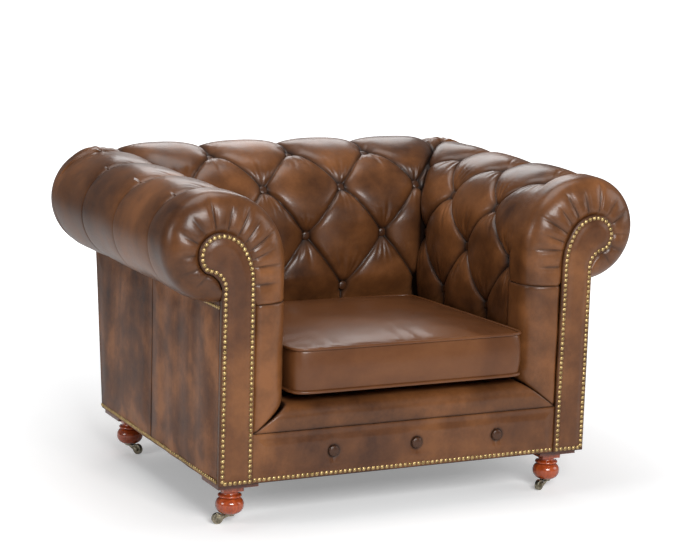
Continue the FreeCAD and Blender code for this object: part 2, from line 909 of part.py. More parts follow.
inner_post = "(post_outer - post_width)"
keep("front_rail", box("front_rail", "-%s + gap" % inner_post,
                       "front_plane + leather + board_thick + 2 * gap",
                       "rail_bottom", "2 * (%s - gap)" % inner_post, "rail_thick", "rail_height"))
keep("back_rail", box("back_rail", "-%s + gap" % inner_post,
                      "front_plane + back_post_front + post_depth - rail_thick",
                      "rail_bottom", "2 * (%s - gap)" % inner_post, "rail_thick", "rail_height"))
side_length = "back_post_front - leather - board_thick - 2 * gap - post_depth - 2 * gap"
side_start = "front_plane + leather + board_thick + 2 * gap + post_depth + gap"
pair("side_rails", lambda side, sign: box(
    side + "_side_rail", "post_outer - rail_thick" if sign > 0 else "-post_outer",
    side_start, "rail_bottom", "rail_thick", side_length, "rail_height"))
pair("front_posts", lambda side, sign: box(
    side + "_front_post", inner_post if sign > 0 else "-post_outer",
    "front_plane + leather + board_thick + 2 * gap", "rail_bottom",
    "post_width", "post_depth", "top_rail_flat - rail_bottom - gap"))
pair("back_posts", lambda side, sign: box(
    side + "_back_post", inner_post if sign > 0 else "-post_outer",
    "front_plane + back_post_front", "rail_bottom",
    "post_width", "post_depth", "top_rail_flat - rail_bottom - gap"))
pair("back_uprights", lambda side, sign: box(
    side + "_upright", "upright_offset" if sign > 0 else "-upright_offset - upright_width",
    "front_plane + back_post_front", "tack_rail_bottom + tack_rail_height + gap",
    "upright_width", "post_depth", "top_rail_flat - tack_rail_bottom - tack_rail_height - 2 * gap"))
tack = [box(side + "_tack_rail", inner_post if sign > 0 else "-%s - tack_rail_thick" % inner_post,
            side_start, "tack_rail_bottom", "tack_rail_thick", side_length, "tack_rail_height")
        for side, sign in (("left", -1), ("right", 1))]
tack.append(box("back_tack_rail", "-%s + gap" % inner_post, "front_plane + back_post_front",
                "tack_rail_bottom", "2 * (%s - gap)" % inner_post, "tack_rail_thick", "tack_rail_height"))
group("tack_rails", tack)


def top_rail(name, x, y, length, turn):
    """A round bar with a flat planed underneath, where the posts meet it."""
    bar = doc.addObject("Part::Cylinder", name + "_bar")
    bar.Placement = FreeCAD.Placement(vec(0, 0, 0), turn)
    for prop, text in (("Radius", "top_rail_radius"), ("Height", length), ("Placement.Base.x", x),
                       ("Placement.Base.y", y), ("Placement.Base.z", "scroll_z")):
        bar.setExpression(prop, bound(text))
    plane = box(name + "_flat", "-2 * base_half", "front_plane - base_half",
                "top_rail_flat - top_rail_radius", "4 * base_half", "4 * base_half", "top_rail_radius")
    return cut(name, bar, plane)


along_y = FreeCAD.Rotation(vec(1, 0, 0), -90)
along_x = FreeCAD.Rotation(vec(0, 1, 0), 90)
pair("arm_top_rails", lambda side, sign: top_rail(
    side + "_arm_top_rail", "scroll_x" if sign > 0 else "-scroll_x",
    "front_plane + leather + board_thick + 2 * gap",
    "back_arc_y - leather - board_thick - 4 * gap", along_y))
keep("back_top_rail", top_rail("back_top_rail", "-scroll_x + top_rail_radius + gap",
                               "front_plane + back_arc_y + rail_offset",
                               "2 * (scroll_x - top_rail_radius - gap)", along_x))

CORNERS = [
    ("front_left", -1, "front", 168.7),
    ("front_right", 1, "front", 206.6),
    ("rear_left", -1, "rear", 295.9),
    ("rear_right", 1, "rear", 122.0),
]


def corner_blocks():
    """Glued triangles that stiffen the seat frame and take the foot bolts."""
    leg = size("block_leg")
    low = size("rail_bottom")
    blocks = []
    for name, sign, end, heading in CORNERS:
        x = sign * (size("post_outer") - size("rail_thick") - GAP)
        front = end == "front"
        y = size("back_post_front") - GAP
        if front:
            y = BOARD_BACK + size("post_depth") + GAP
        inward = 1 if front else -1
        corners = [vec(x, FRONT + y, low), vec(x - sign * leg, FRONT + y, low),
                   vec(x, FRONT + y + inward * leg, low)]
        block = prism(corners, vec(0, 0, size("block_height")))
        hole = Part.makeCylinder(size("bolt_radius") + 0.1, BEYOND,
                                 vec(sign * size("foot_x"), FRONT + size(end + "_foot_y"), 0))
        blocks.append(block.cut(hole))
    return Part.makeCompound(blocks)


form("corner_blocks", corner_blocks())

# Jute webbing across the posts behind the padding

straps = []
for number in range(3):
    level = "web_first + web_pitch * %d" % number
    for side, sign in (("left", -1), ("right", 1)):
        straps.append(box("%s_web_%d" % (side, number),
                          inner_post + " - web_thick - gap" if sign > 0 else "-%s + gap" % inner_post,
                          "front_plane + board_thick + post_depth / 2", level, "web_thick",
                          "back_post_front - board_thick", "web_width"))
    straps.append(box("back_web_%d" % number, "-%s - web_width / 2" % inner_post,
                      "front_plane + back_post_front - web_thick - gap", level + " + web_pitch / 2",
                      "2 * %s + web_width" % inner_post, "web_thick", "web_width"))
group("webbing_straps", straps)

# Zigzag springs between clips on the front and back rails, hessian and deck pad over them

SPRING_FRONT = BOARD_BACK + size("rail_thick") + size("clip_depth") + GAP
SPRING_REAR = size("back_post_front") + size("post_depth") - size("rail_thick") - size("clip_depth") - GAP


def spring(x):
    """A wire in one plane that swings from side to side, each turn two quarter arcs."""
    z = size("spring_z")
    half = size("spring_half")
    turns = int(size("spring_turns"))
    bend = (SPRING_REAR - SPRING_FRONT) / turns / 4
    corner = bend * math.sqrt(0.5)
    inner = bend - corner
    reach = half - bend
    y = FRONT + SPRING_FRONT
    side = 1
    edges = []
    for turn in range(turns):
        far = x + side * reach
        tip = x + side * (reach + bend)
        near = x + side * bend
        edges.append(arc(vec(x, y, z), vec(x + side * inner, y + corner, z), vec(near, y + bend, z)))
        edges.append(line(vec(near, y + bend, z), vec(far, y + bend, z)))
        edges.append(arc(vec(far, y + bend, z), vec(far + side * corner, y + 2 * bend - corner, z),
                         vec(tip, y + 2 * bend, z)))
        edges.append(arc(vec(tip, y + 2 * bend, z), vec(far + side * corner, y + 2 * bend + corner, z),
                         vec(far, y + 3 * bend, z)))
        edges.append(line(vec(far, y + 3 * bend, z), vec(near, y + 3 * bend, z)))
        edges.append(arc(vec(near, y + 3 * bend, z),
                         vec(x + side * inner, y + 4 * bend - corner, z), vec(x, y + 4 * bend, z)))
        y += 4 * bend
        side = -side
    path = Part.Wire(edges)
    circle = Part.Wire(Part.makeCircle(size("spring_wire"), vec(x, FRONT + SPRING_FRONT, z), ALONG_Y))
    return path.makePipeShell([circle], True, False)


count = int(size("spring_count"))
spring_places = [size("spring_pitch") * (number - (count - 1) / 2) for number in range(count)]
form("seat_springs", Part.makeCompound([spring(x) for x in spring_places]))
clips = []
for number in range(count):
    place = "spring_pitch * %.1f - clip_width / 2" % (number - (count - 1) / 2)
    for end, y in (("front", "front_plane + leather + board_thick + 2 * gap + rail_thick"),
                   ("rear", "front_plane + back_post_front + post_depth - rail_thick - clip_depth")):
        clips.append(box("%s_clip_%d" % (end, number), place, y, "spring_z + spring_wire - clip_height",
                         "clip_width", "clip_depth", "clip_height"))
group("spring_clips", clips)
keep("seat_hessian", box(
    "seat_hessian", "-%s + gap" % inner_post,
    "front_plane + leather + board_thick + 3 * gap + rail_thick",
    "spring_z + spring_wire + gap", "2 * (%s - gap)" % inner_post,
    "back_post_front + post_depth - 2 * rail_thick - leather - board_thick - 4 * gap", "hessian_thick"))

SLOPE = math.tan(math.radians(size("seat_slope")))


def seat_plane(y):
    """Height of the cushion's underside, which falls towards the back."""
    return size("cushion_bottom") - (y - size("cushion_front")) * SLOPE


def deck_pad():
    first = size("lip_depth") + GAP
    last = size("deck_rear")
    low = size("spring_z") + size("spring_wire") + size("hessian_thick") + 2 * GAP
    x = -size("deck_half")
    corners = [vec(x, FRONT + first, low), vec(x, FRONT + last, low),
               vec(x, FRONT + last, seat_plane(last) - GAP), vec(x, FRONT + first, seat_plane(first) - GAP)]
    return prism(corners, vec(-2 * x, 0, 0))


form("seat_deck_pad", deck_pad())

# Loose cushion: crowned top, boxed sides that swell between two rows of piping


def cushion_slice(x, inset, squeeze):
    """A section across the cushion at x. squeeze draws the ends in, for rounded corners."""
    front = size("cushion_front") + inset + squeeze
    rear = size("cushion_rear") - inset - squeeze
    low = inset + squeeze * 0.2
    high = size("cushion_height") - inset - squeeze * 0.2
    share = min(1.0, abs(x) / size("cushion_half"))
    crown = size("cushion_crown") * (1 - share ** 2.4) + 1.0
    bow = size("cushion_bow") * (1 - 0.6 * share ** 4)
    middle = (low + high) / 2

    def p(y, z):
        return vec(x, y - size("cushion_front"), z)

    return Part.Wire([
        arc(p(front, low), p(front - bow, middle), p(front, high)),
        arc(p(front, high), p((front + rear) / 2, high + crown), p(rear, high)),
        arc(p(rear, high), p(rear + bow, middle), p(rear, low)),
        line(p(rear, low), p(front, low)),
    ])


def seated(shape):
    """Tilt a cushion piece to the seat's slope and set it on the deck."""
    shape.rotate(vec(0, 0, 0), vec(1, 0, 0), -size("seat_slope"))
    shape.translate(vec(0, FRONT + size("cushion_front"), size("cushion_bottom")))
    return shape


def cushion_form(inset):
    reach = size("cushion_half") - inset
    shares = [1.0, 0.985, 0.93, 0.75, 0.5, 0.25]
    squeezes = [9.0, 2.5, 0.5, 0.0, 0.0, 0.0]
    slices = [cushion_slice(-reach * share, inset, squeeze) for share, squeeze in zip(shares, squeezes)]
    slices.append(cushion_slice(0, inset, 0))
    slices += [cushion_slice(reach * share, inset, squeeze)
               for share, squeeze in reversed(list(zip(shares, squeezes)))]
    return Part.makeLoft(slices, True, True)


def piping(level):
    """A round cord sewn along the cushion's edge, a closed loop with rounded corners."""
    cord = size("piping_radius")
    clear = cord + 1.4
    x = size("cushion_half") + clear - 1.0
    first = -clear
    last = size("cushion_rear") - size("cushion_front") + clear
    bend = 16.0
    short = bend * (1 - math.sqrt(0.5))
    edges = []
    for sx, sy in ((1, 1), (1, -1), (-1, -1), (-1, 1)):
        y = last if sy > 0 else first
        on_end = vec(sx * (x - bend), y, level)
        on_side = vec(sx * x, y - sy * bend, level)
        elbow = vec(sx * (x - short), y - sy * short, level)
        ends = (on_end, on_side) if sx * sy > 0 else (on_side, on_end)
        edges.append(arc(ends[0], elbow, ends[1]))
    joined = []
    for number, bend_edge in enumerate(edges):
        following = edges[(number + 1) % 4]
        joined.append(bend_edge)
        joined.append(line(bend_edge.Vertexes[-1].Point, following.Vertexes[0].Point))
    start = joined[1]
    middle = start.Vertexes[0].Point
    way = start.Vertexes[1].Point - middle
    circle = Part.Wire(Part.makeCircle(cord, middle, way))
    path = Part.Wire(joined[1:] + joined[:1])
    return path.makePipeShell([circle], True, False)


form("cushion_cover", seated(cushion_form(0).cut(cushion_form(SKIN))))
form("cushion_core", seated(cushion_form(SKIN + GAP)))
low_piping = size("piping_radius") + 0.2
high_piping = size("cushion_height") - size("piping_radius") + 2.0
form("cushion_piping", Part.makeCompound([seated(piping(low_piping)), seated(piping(high_piping))]))

# Covered buttons


def button_set(roll, spots, place_at):
    radius = size("tuft_button_radius")
    return [button(roll, along, place_at(station), radius) for station, along in spots]


right_buttons = button_set(arm_roll, arm_spots, arm_place)
form("arm_buttons", Part.makeCompound(right_buttons + [mirrored(one) for one in right_buttons]))
form("back_buttons", Part.makeCompound(button_set(back_roll, back_spots, back_place)))


def border_buttons():
    head = domed(size("border_button_radius"), size("button_thick") / 3, size("button_thick") / 3)
    pitch = size("border_button_pitch")
    return Part.makeCompound([
        facing(head, vec(size("border_button_x") + pitch * number, FRONT + size("border_face") - 0.2,
                         size("border_button_z")), vec(0, -1, 0)) for number in (-1, 0, 1)])


form("border_buttons", border_buttons())

# Brass nails: domed heads on the leather


HEAD = domed(size("nail_radius"), 0, size("nail_height"))


def row_of_nails(first, last, outward):
    """Nails at an even pitch from one point to another, both ends included."""
    length = (last - first).Length
    steps = max(1, round(length / size("nail_pitch")))
    return [facing(HEAD, first + (last - first) * (step / steps), outward) for step in range(steps + 1)]


def scroll_nails():
    path = scroll_outline(size("nail_inset"), 0)
    count = round(path.Length / size("nail_pitch"))
    points = path.discretize(Number=count + 1)[:-1]
    right = [facing(HEAD, point, vec(0, -1, 0)) for point in points]
    return Part.makeCompound(right + [mirrored(nail) for nail in right])


def panel_nails():
    inset = size("nail_inset")
    low = size("base_bottom") + inset
    high = size("panel_top") - inset
    edge = BOARD_BACK + inset
    front = row_of_nails(vec(-size("scroll_inner") + inset, FRONT + size("border_face"), low),
                         vec(size("scroll_inner") - inset, FRONT + size("border_face"), low), vec(0, -1, 0))
    side = row_of_nails(vec(HALF, FRONT + edge, low), vec(HALF, back_plane(low) - inset, low), vec(1, 0, 0))
    side += row_of_nails(vec(HALF, FRONT + edge, high), vec(HALF, back_plane(high) - inset, high),
                         vec(1, 0, 0))
    outward = vec(0, 1, -LEAN)
    reach = HALF - SKIN - GAP - inset
    top = size("back_panel_top") - inset
    back = row_of_nails(vec(-reach, back_plane(low), low), vec(reach, back_plane(low), low), outward)
    back += row_of_nails(vec(-reach, back_plane(top), top), vec(reach, back_plane(top), top), outward)
    return Part.makeCompound(front + side + [mirrored(nail) for nail in side] + back)


form("scroll_nails", scroll_nails())
form("panel_nails", panel_nails())

# Dust cover under the base, with holes for the foot bolts

base_cloth = box("base_cloth", "-post_outer", "front_plane + border_face + leather",
                 "base_bottom - gap - dust_cloth", "2 * post_outer",
                 "back_foot - border_face - 3 * leather", "dust_cloth")
holes = [rod("cloth_hole_" + name, "foot_x" if sign > 0 else "-foot_x", "front_plane + %s_foot_y" % end,
             "0", "bolt_radius + 0.5", "2 * base_bottom") for name, sign, end, heading in CORNERS]
drilled = doc.addObject("Part::MultiFuse", "cloth_holes")
drilled.Shapes = holes
keep("dust_cover", cut("dust_cover", base_cloth, drilled))


# Feet: a square plate, a turned bun with a square neck, a hanger bolt, a brass socket


def bun_foot(name, x, y):
    """One turned foot as a revolved outline, fused to the square of its neck."""
    low = size("bun_bottom")
    top = size("bun_top")
    radius = size("bun_radius")
    ring = size("ring_radius")
    neck_top = size("base_bottom") - size("dust_cloth") - size("plate_thick") - 3 * GAP
    neck_low = neck_top - size("neck_height")
    bore = size("socket_radius") + size("stem_play")
    bore_top = low + size("stem_length") + 3
    belly = low + (top - low) * 0.52
    groove = size("neck_side") / 2 - 4

    def p(r, z):
        return vec(r, 0, z)

    edges = [
        line(p(bore, low), p(radius * 0.52, low)),
        arc(p(radius * 0.52, low), p(radius * 0.88, low + (belly - low) * 0.38), p(radius, belly)),
        arc(p(radius, belly), p(radius * 0.90, top - (top - belly) * 0.34), p(groove, top)),
        line(p(groove, top), p(ring, top + 1.5)),
        arc(p(ring, top + 1.5), p(ring + 1.6, top + 4), p(ring, top + 6.5)),
        line(p(ring, top + 6.5), p(groove, top + 8)),
        arc(p(groove, top + 8), p(groove - 1.5, (top + 8 + neck_low) / 2), p(groove + 3, neck_low + 1)),
        line(p(groove + 3, neck_low + 1), p(0, neck_low + 1)),
        line(p(0, neck_low + 1), p(0, bore_top)),
        line(p(0, bore_top), p(bore, bore_top)),
        line(p(bore, bore_top), p(bore, low)),
    ]
    turned = Part.Face(Part.Wire(edges)).revolve(vec(0, 0, 0), vec(0, 0, 1), 360)
    side = size("neck_side")
    square = Part.makeBox(side, side, neck_top - neck_low, vec(-side / 2, -side / 2, neck_low))
    square = square.makeChamfer(2.0, [edge for edge in square.Edges if is_upright(edge)])
    foot = turned.fuse(square)
    bolt = Part.makeCylinder(size("bolt_radius") + 0.1, 60, vec(0, 0, bore_top + 3))
    foot = foot.cut(bolt).removeSplitter()
    foot.translate(vec(x, y, 0))
    return foot


def is_upright(edge):
    first, last = (vertex.Point for vertex in edge.Vertexes)
    return abs(first.z - last.z) > 1


PLATE_LOW = "base_bottom - 2 * gap - dust_cloth - plate_thick"
plates = []
bolts = []
buns = []
sockets = []
for name, sign, end, heading in CORNERS:
    x = sign * size("foot_x")
    y = FRONT + size(end + "_foot_y")
    across = "foot_x" if sign > 0 else "-foot_x"
    depth = "front_plane + %s_foot_y" % end
    plate = box("plate_" + name, across + " - plate_side / 2", depth + " - plate_side / 2", PLATE_LOW,
                "plate_side", "plate_side", "plate_thick")
    plates.append(cut("drilled_plate_" + name, plate, rod("plate_hole_" + name, across, depth, "0",
                                                         "bolt_radius + 0.1", "2 * base_bottom")))
    bolts.append(rod("bolt_" + name, across, depth, "bun_bottom + stem_length + 7", "bolt_radius",
                     "bolt_length"))
    buns.append(bun_foot("bun_" + name, x, y))
    sleeve = rod("sleeve_" + name, across, depth, "bun_bottom", "socket_radius", "stem_length + 2")
    flange = rod("flange_" + name, across, depth, "bun_bottom - socket_thick", "socket_plate",
                 "socket_thick")
    joined = doc.addObject("Part::Fuse", "socket_body_" + name)
    joined.Base = sleeve
    joined.Tool = flange
    bore = rod("bore_" + name, across, depth, "bun_bottom - 2 * socket_thick", "stem_radius + stem_play",
               "stem_length + 1 + 2 * socket_thick")
    sockets.append(cut("socket_" + name, joined, bore))
group("foot_plates", plates)
group("foot_bolts", bolts)
form("bun_feet", Part.makeCompound(buns))
group("caster_sockets", sockets)

# Casters: a horn with its stem, a wheel, an axle pin


def caster_fork():
    """Horn of a caster at the origin: stem, round crown, two cheeks that reach back to the axle."""
    crown_top = size("bun_bottom") - size("socket_thick") - size("hub_side_play")
    crown_low = crown_top - 3.0
    inner = size("wheel_width") / 2 + size("fork_play")
    outer = inner + size("fork_thick")
    trail = size("caster_trail")
    axle_z = size("wheel_radius")
    boss = size("axle_radius") + 3.2
    stem = Part.makeCylinder(size("stem_radius"), size("stem_length"), vec(0, 0, crown_low + 1))
    crown = Part.makeCylinder(size("socket_plate") - 2.5, crown_top - crown_low, vec(0, 0, crown_low))
    fork = stem.fuse(crown)
    for sign in (-1, 1):
        y = inner if sign > 0 else -outer
        upper = vec(trail + boss * 0.55, y, axle_z + boss * 0.83)
        lower = vec(trail - boss * 0.75, y, axle_z - boss * 0.66)
        cheek = prism([vec(-5, y, crown_top), vec(7, y, crown_top), upper, lower, vec(2, y, crown_low)],
                      vec(0, size("fork_thick"), 0))
        disc = Part.makeCylinder(boss, size("fork_thick"), vec(trail, y, axle_z), ALONG_Y)
        fork = fork.fuse(cheek).fuse(disc)
    hole = Part.makeCylinder(size("axle_radius") + 0.02, 4 * outer, vec(trail, -2 * outer, axle_z), ALONG_Y)
    return fork.cut(hole).removeSplitter()


def caster_wheel():
    """Wheel with a rounded tread, a hub boss each side and a bore for its axle."""
    radius = size("wheel_radius")
    half = size("wheel_width") / 2
    trail = size("caster_trail")
    rim = 1.5
    disc = Part.makeCylinder(radius, 2 * half - 1.0, vec(trail, -half + 0.5, radius), ALONG_Y)
    disc = disc.makeFillet(rim, [edge for edge in disc.Edges if edge.Length > 4 * radius])
    hub = Part.makeCylinder(radius * 0.42, 2 * half, vec(trail, -half, radius), ALONG_Y)
    bore = Part.makeCylinder(size("axle_radius") + size("axle_play"), 4 * half,
                             vec(trail, -2 * half, radius), ALONG_Y)
    return disc.fuse(hub).cut(bore).removeSplitter()


def caster_axle():
    """Pin riveted over both cheeks."""
    outer = size("wheel_width") / 2 + size("fork_play") + size("fork_thick")
    trail = size("caster_trail")
    radius = size("axle_radius")
    rivet = 1.2
    pin = Part.makeCylinder(radius, 2 * outer, vec(trail, -outer, size("wheel_radius")), ALONG_Y)
    for start in (-outer - rivet, outer):
        head = Part.makeCylinder(radius + 1.2, rivet, vec(trail, start, size("wheel_radius")), ALONG_Y)
        pin = pin.fuse(head)
    return pin.removeSplitter()


for name, sign, end, heading in CORNERS:
    where = FreeCAD.Placement(vec(sign * size("foot_x"), FRONT + size(end + "_foot_y"), 0),
                              FreeCAD.Rotation(vec(0, 0, 1), heading))
    for what, make in (("fork", caster_fork), ("wheel", caster_wheel), ("axle", caster_axle)):
        piece = form("caster_%s_%s" % (what, name), make())
        piece.Placement = where

doc.recompute()
for thing in doc.Objects:
    for word in ("Invalid", "Error"):
        if word in thing.State:
            raise SystemExit("%s is %s" % (thing.Name, word))
for label, thing in nodes.items():
    if thing.Shape.isNull() or not thing.Shape.isValid() or not thing.Shape.Solids:
        raise SystemExit("%s has no sound shape" % label)
os.makedirs("parts", exist_ok=True)
for label, thing in nodes.items():
    thing.Shape.exportStep("parts/%s.step" % label)
    print(label, len(thing.Shape.Solids), "solids", len(thing.Shape.Faces), "faces")
print(len(nodes), "nodes")
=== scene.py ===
import math

import bpy
import numpy as np
from mathutils import Matrix, Vector


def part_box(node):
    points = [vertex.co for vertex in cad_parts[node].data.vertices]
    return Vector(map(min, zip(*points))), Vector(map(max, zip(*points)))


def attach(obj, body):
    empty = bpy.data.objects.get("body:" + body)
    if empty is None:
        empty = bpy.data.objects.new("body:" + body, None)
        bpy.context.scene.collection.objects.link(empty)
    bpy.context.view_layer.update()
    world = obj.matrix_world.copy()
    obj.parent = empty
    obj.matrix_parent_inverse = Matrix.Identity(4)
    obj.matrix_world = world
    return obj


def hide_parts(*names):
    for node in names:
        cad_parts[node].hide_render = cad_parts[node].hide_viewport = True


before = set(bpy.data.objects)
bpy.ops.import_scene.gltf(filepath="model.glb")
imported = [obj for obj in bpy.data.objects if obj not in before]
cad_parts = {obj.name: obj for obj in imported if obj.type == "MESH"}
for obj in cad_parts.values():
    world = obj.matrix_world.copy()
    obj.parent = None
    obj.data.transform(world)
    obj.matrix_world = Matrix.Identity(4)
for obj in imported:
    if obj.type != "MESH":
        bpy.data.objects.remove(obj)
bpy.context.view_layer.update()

# Shapes are worked out in millimetres and turned into metres when a mesh is made.
# +X is the chair's right as one looks at its front, -Y its front, and z = 0 is the floor.

MM = 0.001
FRONT = -434.0
HALF = 460.0
PANEL_TOP = 503.5
BACK_PANEL_TOP = 512.5
BASE_BOTTOM = 105.0
BACK_FOOT = 753.0
BACK_LEAN = math.tan(math.radians(7.9))
SEAM_Y = 413.0
SIDE_FRONT = 15.0
SCROLL_INNER = 382.0
STRIP_TOP = 500.0
STRIP_DEPTH = 100.0
LIP_TOP = 275.0
LIP_BOTTOM = 214.0
LIP_DEPTH = 92.0
BORDER_FACE = 6.0
BORDER_INSET = 2.0
FRONT_ROUND = 60.0
COVER_FOOT = 236.0
TO_FRAME = (0.0, FRONT, 0.0)


def back_y(z):
    """Y of the outside back at height z, from the front plane: it leans backwards."""
    return BACK_FOOT + (z - BASE_BOTTOM) * BACK_LEAN


# Meshes


def add_mesh(name, points, faces, crease_shade=None):
    """A mesh object from points in millimetres and faces. It is turned inside out if its faces enclose a
    negative volume, so that they point outwards. The last argument is painted shade on the leather: 0 on open
    leather and 1 deep in a crease."""
    points = np.asarray(points, float).reshape(-1, 3)
    volume = 0.0
    for part in faces:
        corner = points[part]
        for second in range(1, part.shape[1] - 1):
            cross = np.cross(corner[:, second], corner[:, second + 1])
            volume += (corner[:, 0] * cross).sum()
    if volume < 0:
        faces = [part[:, ::-1] for part in faces]
    mesh = bpy.data.meshes.new(name)
    mesh.from_pydata((points * MM).tolist(), [], [face for part in faces for face in part.tolist()])
    mesh.polygons.foreach_set("use_smooth", np.ones(len(mesh.polygons), dtype=bool))
    # painted shade of each point, which the leather's shader reads
    layer = mesh.attributes.new("crease_shade", "FLOAT", "POINT")
    layer.data.foreach_set("value", np.zeros(len(points)) if crease_shade is None else np.ravel(crease_shade))
    mesh.update()
    piece = bpy.data.objects.new(name, mesh)
    bpy.context.scene.collection.objects.link(piece)
    return piece


def loft_parts(rings, base=0):
    """Points, side faces and end faces of a closed solid through rings (n, m, 3), numbered from base: each
    ring closes on itself, and a fan of triangles to the middle of the first and last ring closes the ends."""
    count, around = rings.shape[:2]
    index = base + np.arange(count * around).reshape(count, around)
    after = np.roll(index, -1, axis=1)
    sides = np.stack([index[:-1], after[:-1], after[1:], index[1:]], axis=-1).reshape(-1, 4)
    tip = base + count * around
    first = np.stack([after[0], index[0], np.full(around, tip)], axis=-1)
    last = np.stack([index[-1], after[-1], np.full(around, tip + 1)], axis=-1)
    points = np.concatenate([rings.reshape(-1, 3), [rings[0].mean(axis=0), rings[-1].mean(axis=0)]])
    return points, sides, np.concatenate([first, last])


def closed_loft(name, rings, crease_shade=None):
    """A closed solid through rings, with the painted crease shade of each of their points."""
    points, sides, ends = loft_parts(rings)
    if crease_shade is not None:
        crease_shade = np.concatenate([crease_shade.ravel(), [0.0, 0.0]])
    return add_mesh(name, points, [sides, ends], crease_shade)


def closed_sheet(name, face, back, crease_shade=None):
    """A closed solid between two grids of points (n, m, 3), with walls round their rims."""
    count, across = face.shape[:2]
    top = np.arange(count * across).reshape(count, across)
    low = top + count * across

    def quads(grid):
        return np.stack([grid[:-1, :-1], grid[:-1, 1:], grid[1:, 1:], grid[1:, :-1]], axis=-1).reshape(-1, 4)

    def rim(grid):
        return np.concatenate([grid[0, :], grid[1:, -1], grid[-1, -2::-1], grid[-2:0:-1, 0]])

    edge, under = rim(top), rim(low)
    wall = np.stack([np.roll(edge, -1), edge, under, np.roll(under, -1)], axis=-1)
    points = np.concatenate([face.reshape(-1, 3), back.reshape(-1, 3)])
    if crease_shade is not None:
        crease_shade = np.concatenate([crease_shade.ravel(), np.zeros(count * across)])
    return add_mesh(name, points, [quads(top), quads(low)[:, ::-1], wall], crease_shade)


def mirror_piece(piece, name):
    """A copy on the other side of the chair's middle plane, with its faces turned to point outwards."""
    mesh = piece.data
    points = np.empty(len(mesh.vertices) * 3)
    mesh.vertices.foreach_get("co", points)
    points = points.reshape(-1, 3) * (-1.0, 1.0, 1.0) / MM
    sizes = np.empty(len(mesh.polygons), dtype=np.int32)
    mesh.polygons.foreach_get("loop_total", sizes)
    corners = np.empty(len(mesh.loops), dtype=np.int32)
    mesh.loops.foreach_get("vertex_index", corners)
    starts = np.concatenate([[0], np.cumsum(sizes)[:-1]])
    faces = [corners[starts[sizes == size][:, None] + np.arange(size)] for size in np.unique(sizes)]
    crease_shade = np.empty(len(mesh.vertices))
    mesh.attributes["crease_shade"].data.foreach_get("value", crease_shade)
    return add_mesh(name, points, faces, crease_shade)


def ramp(value, low, high):
    """0 up to low, 1 from high on, and a smooth step between them."""
    share = np.clip((np.asarray(value, float) - low) / (high - low), 0, 1)
    return share * share * (3 - 2 * share)


def decay(value, width):
    """1 at 0 and a steep fall from there: e to the power of minus value over width."""
    return np.exp(-value / width)


def hill(value, width, power=2):
    """1 in the middle and a fall on both sides: e to minus a power of value over width."""
    return np.exp(-(value / width) ** power)


def grid(x, y, z):
    """Points (n, m, 3) from coordinates that broadcast to one shape."""
    return np.stack(np.broadcast_arrays(x, y, z), axis=-1).astype(float)


def inset(x, left, right, y, low, high):
    """Distance inwards from the nearest edge of a rectangle."""
    return np.minimum(np.minimum(x - left, right - x), np.minimum(y - low, high - y))


def path_length(path):
    """The length along a path at each of its points."""
    return np.concatenate([[0], np.cumsum(np.linalg.norm(np.diff(path, axis=0), axis=1))])


def walk(path, spots):
    """Points of a plane path at these lengths along it."""
    lengths = path_length(path)
    return np.stack([np.interp(spots, lengths, path[:, axis]) for axis in (0, 1)], axis=-1)


def quarter(count, power=2.5):
    """A quarter of a superellipse as shares across and back: sin t and 1 - cos t, each to 2 / power."""
    turns = np.linspace(0, math.pi / 2, count)
    return np.sin(turns) ** (2 / power), 1 - np.cos(turns) ** (2 / power)


def outward(points):
    """Unit normals of a grid of points (n, m, 3), from the cross product of its two directions."""
    first = np.gradient(points, axis=0)
    second = np.gradient(points, axis=1)
    normal = np.cross(first, second)
    return normal / np.maximum(np.linalg.norm(normal, axis=-1, keepdims=True), 1e-9)


def arc_points(first, middle, last, count):
    """Points of the arc through three points of a plane, given as (x, z)."""
    a, b, c = (complex(*point) for point in (first, middle, last))
    w = (c - a) / (b - a)
    centre = a + (b - a) * (w - abs(w) ** 2) / (w - w.conjugate())
    turn = np.angle((c - centre) / (a - centre))
    way = np.angle((b - centre) / (a - centre))
    if turn * way < 0 or abs(way) > abs(turn):
        turn -= math.copysign(2 * math.pi, turn)
    spots = centre + (a - centre) * np.exp(1j * turn * np.linspace(0, 1, count))
    return np.stack([spots.real, spots.imag], axis=-1)


# Profiles of the padded arm and back


class Roll:
    """A rolled arm or back in section. along is the length of its line from the foot of the inner arc:
    below 0 it is upright, then it follows a quarter circle up to the ridge, then the roll's own circle.
    rows are the lengths at which the buttons sit, and tuck is how far the leather draws in at the foot."""

    def __init__(self, face, arc_reach, arc_z, roll_z, roll_radius, end_reach, rows, tuck):
        self.face = face
        self.arc_reach = arc_reach
        self.arc_z = arc_z
        self.roll_z = roll_z
        self.roll_radius = roll_radius
        self.inner_radius = arc_reach - face
        self.ridge = self.inner_radius * math.pi / 2
        self.end = self.ridge + (math.pi - math.asin((end_reach - arc_reach) / roll_radius)) * roll_radius
        self.foot = COVER_FOOT - arc_z
        self.rows = rows
        self.tuck = tuck

    def at(self, along):
        """Reach and height of the outer line at each length."""
        inner = np.clip(along / self.inner_radius, 0, math.pi / 2)
        outer = np.maximum(along - self.ridge, 0) / self.roll_radius
        reach = np.where(along > self.ridge, self.arc_reach + self.roll_radius * np.sin(outer),
                         self.arc_reach - self.inner_radius * np.cos(inner))
        z = np.where(along > self.ridge, self.roll_z + self.roll_radius * np.cos(outer),
                     self.arc_z + self.inner_radius * np.sin(inner) + np.minimum(along, 0))
        return reach, z

    def upper(self, along):
        """0 beside the seat and 1 from the ridge on, with a smooth step between them."""
        return ramp(along, self.rows[1] - 20, self.ridge)

    def samples(self, step):
        """Lengths from the foot to the end: close where the buttons are, wider elsewhere."""
        low = self.rows[3] - 25
        high = self.ridge + 60
        return np.concatenate([np.arange(self.foot, low, 3 * step), np.arange(low, high, step),
                               np.linspace(high, self.end, int((self.end - high) / (2 * step)))])


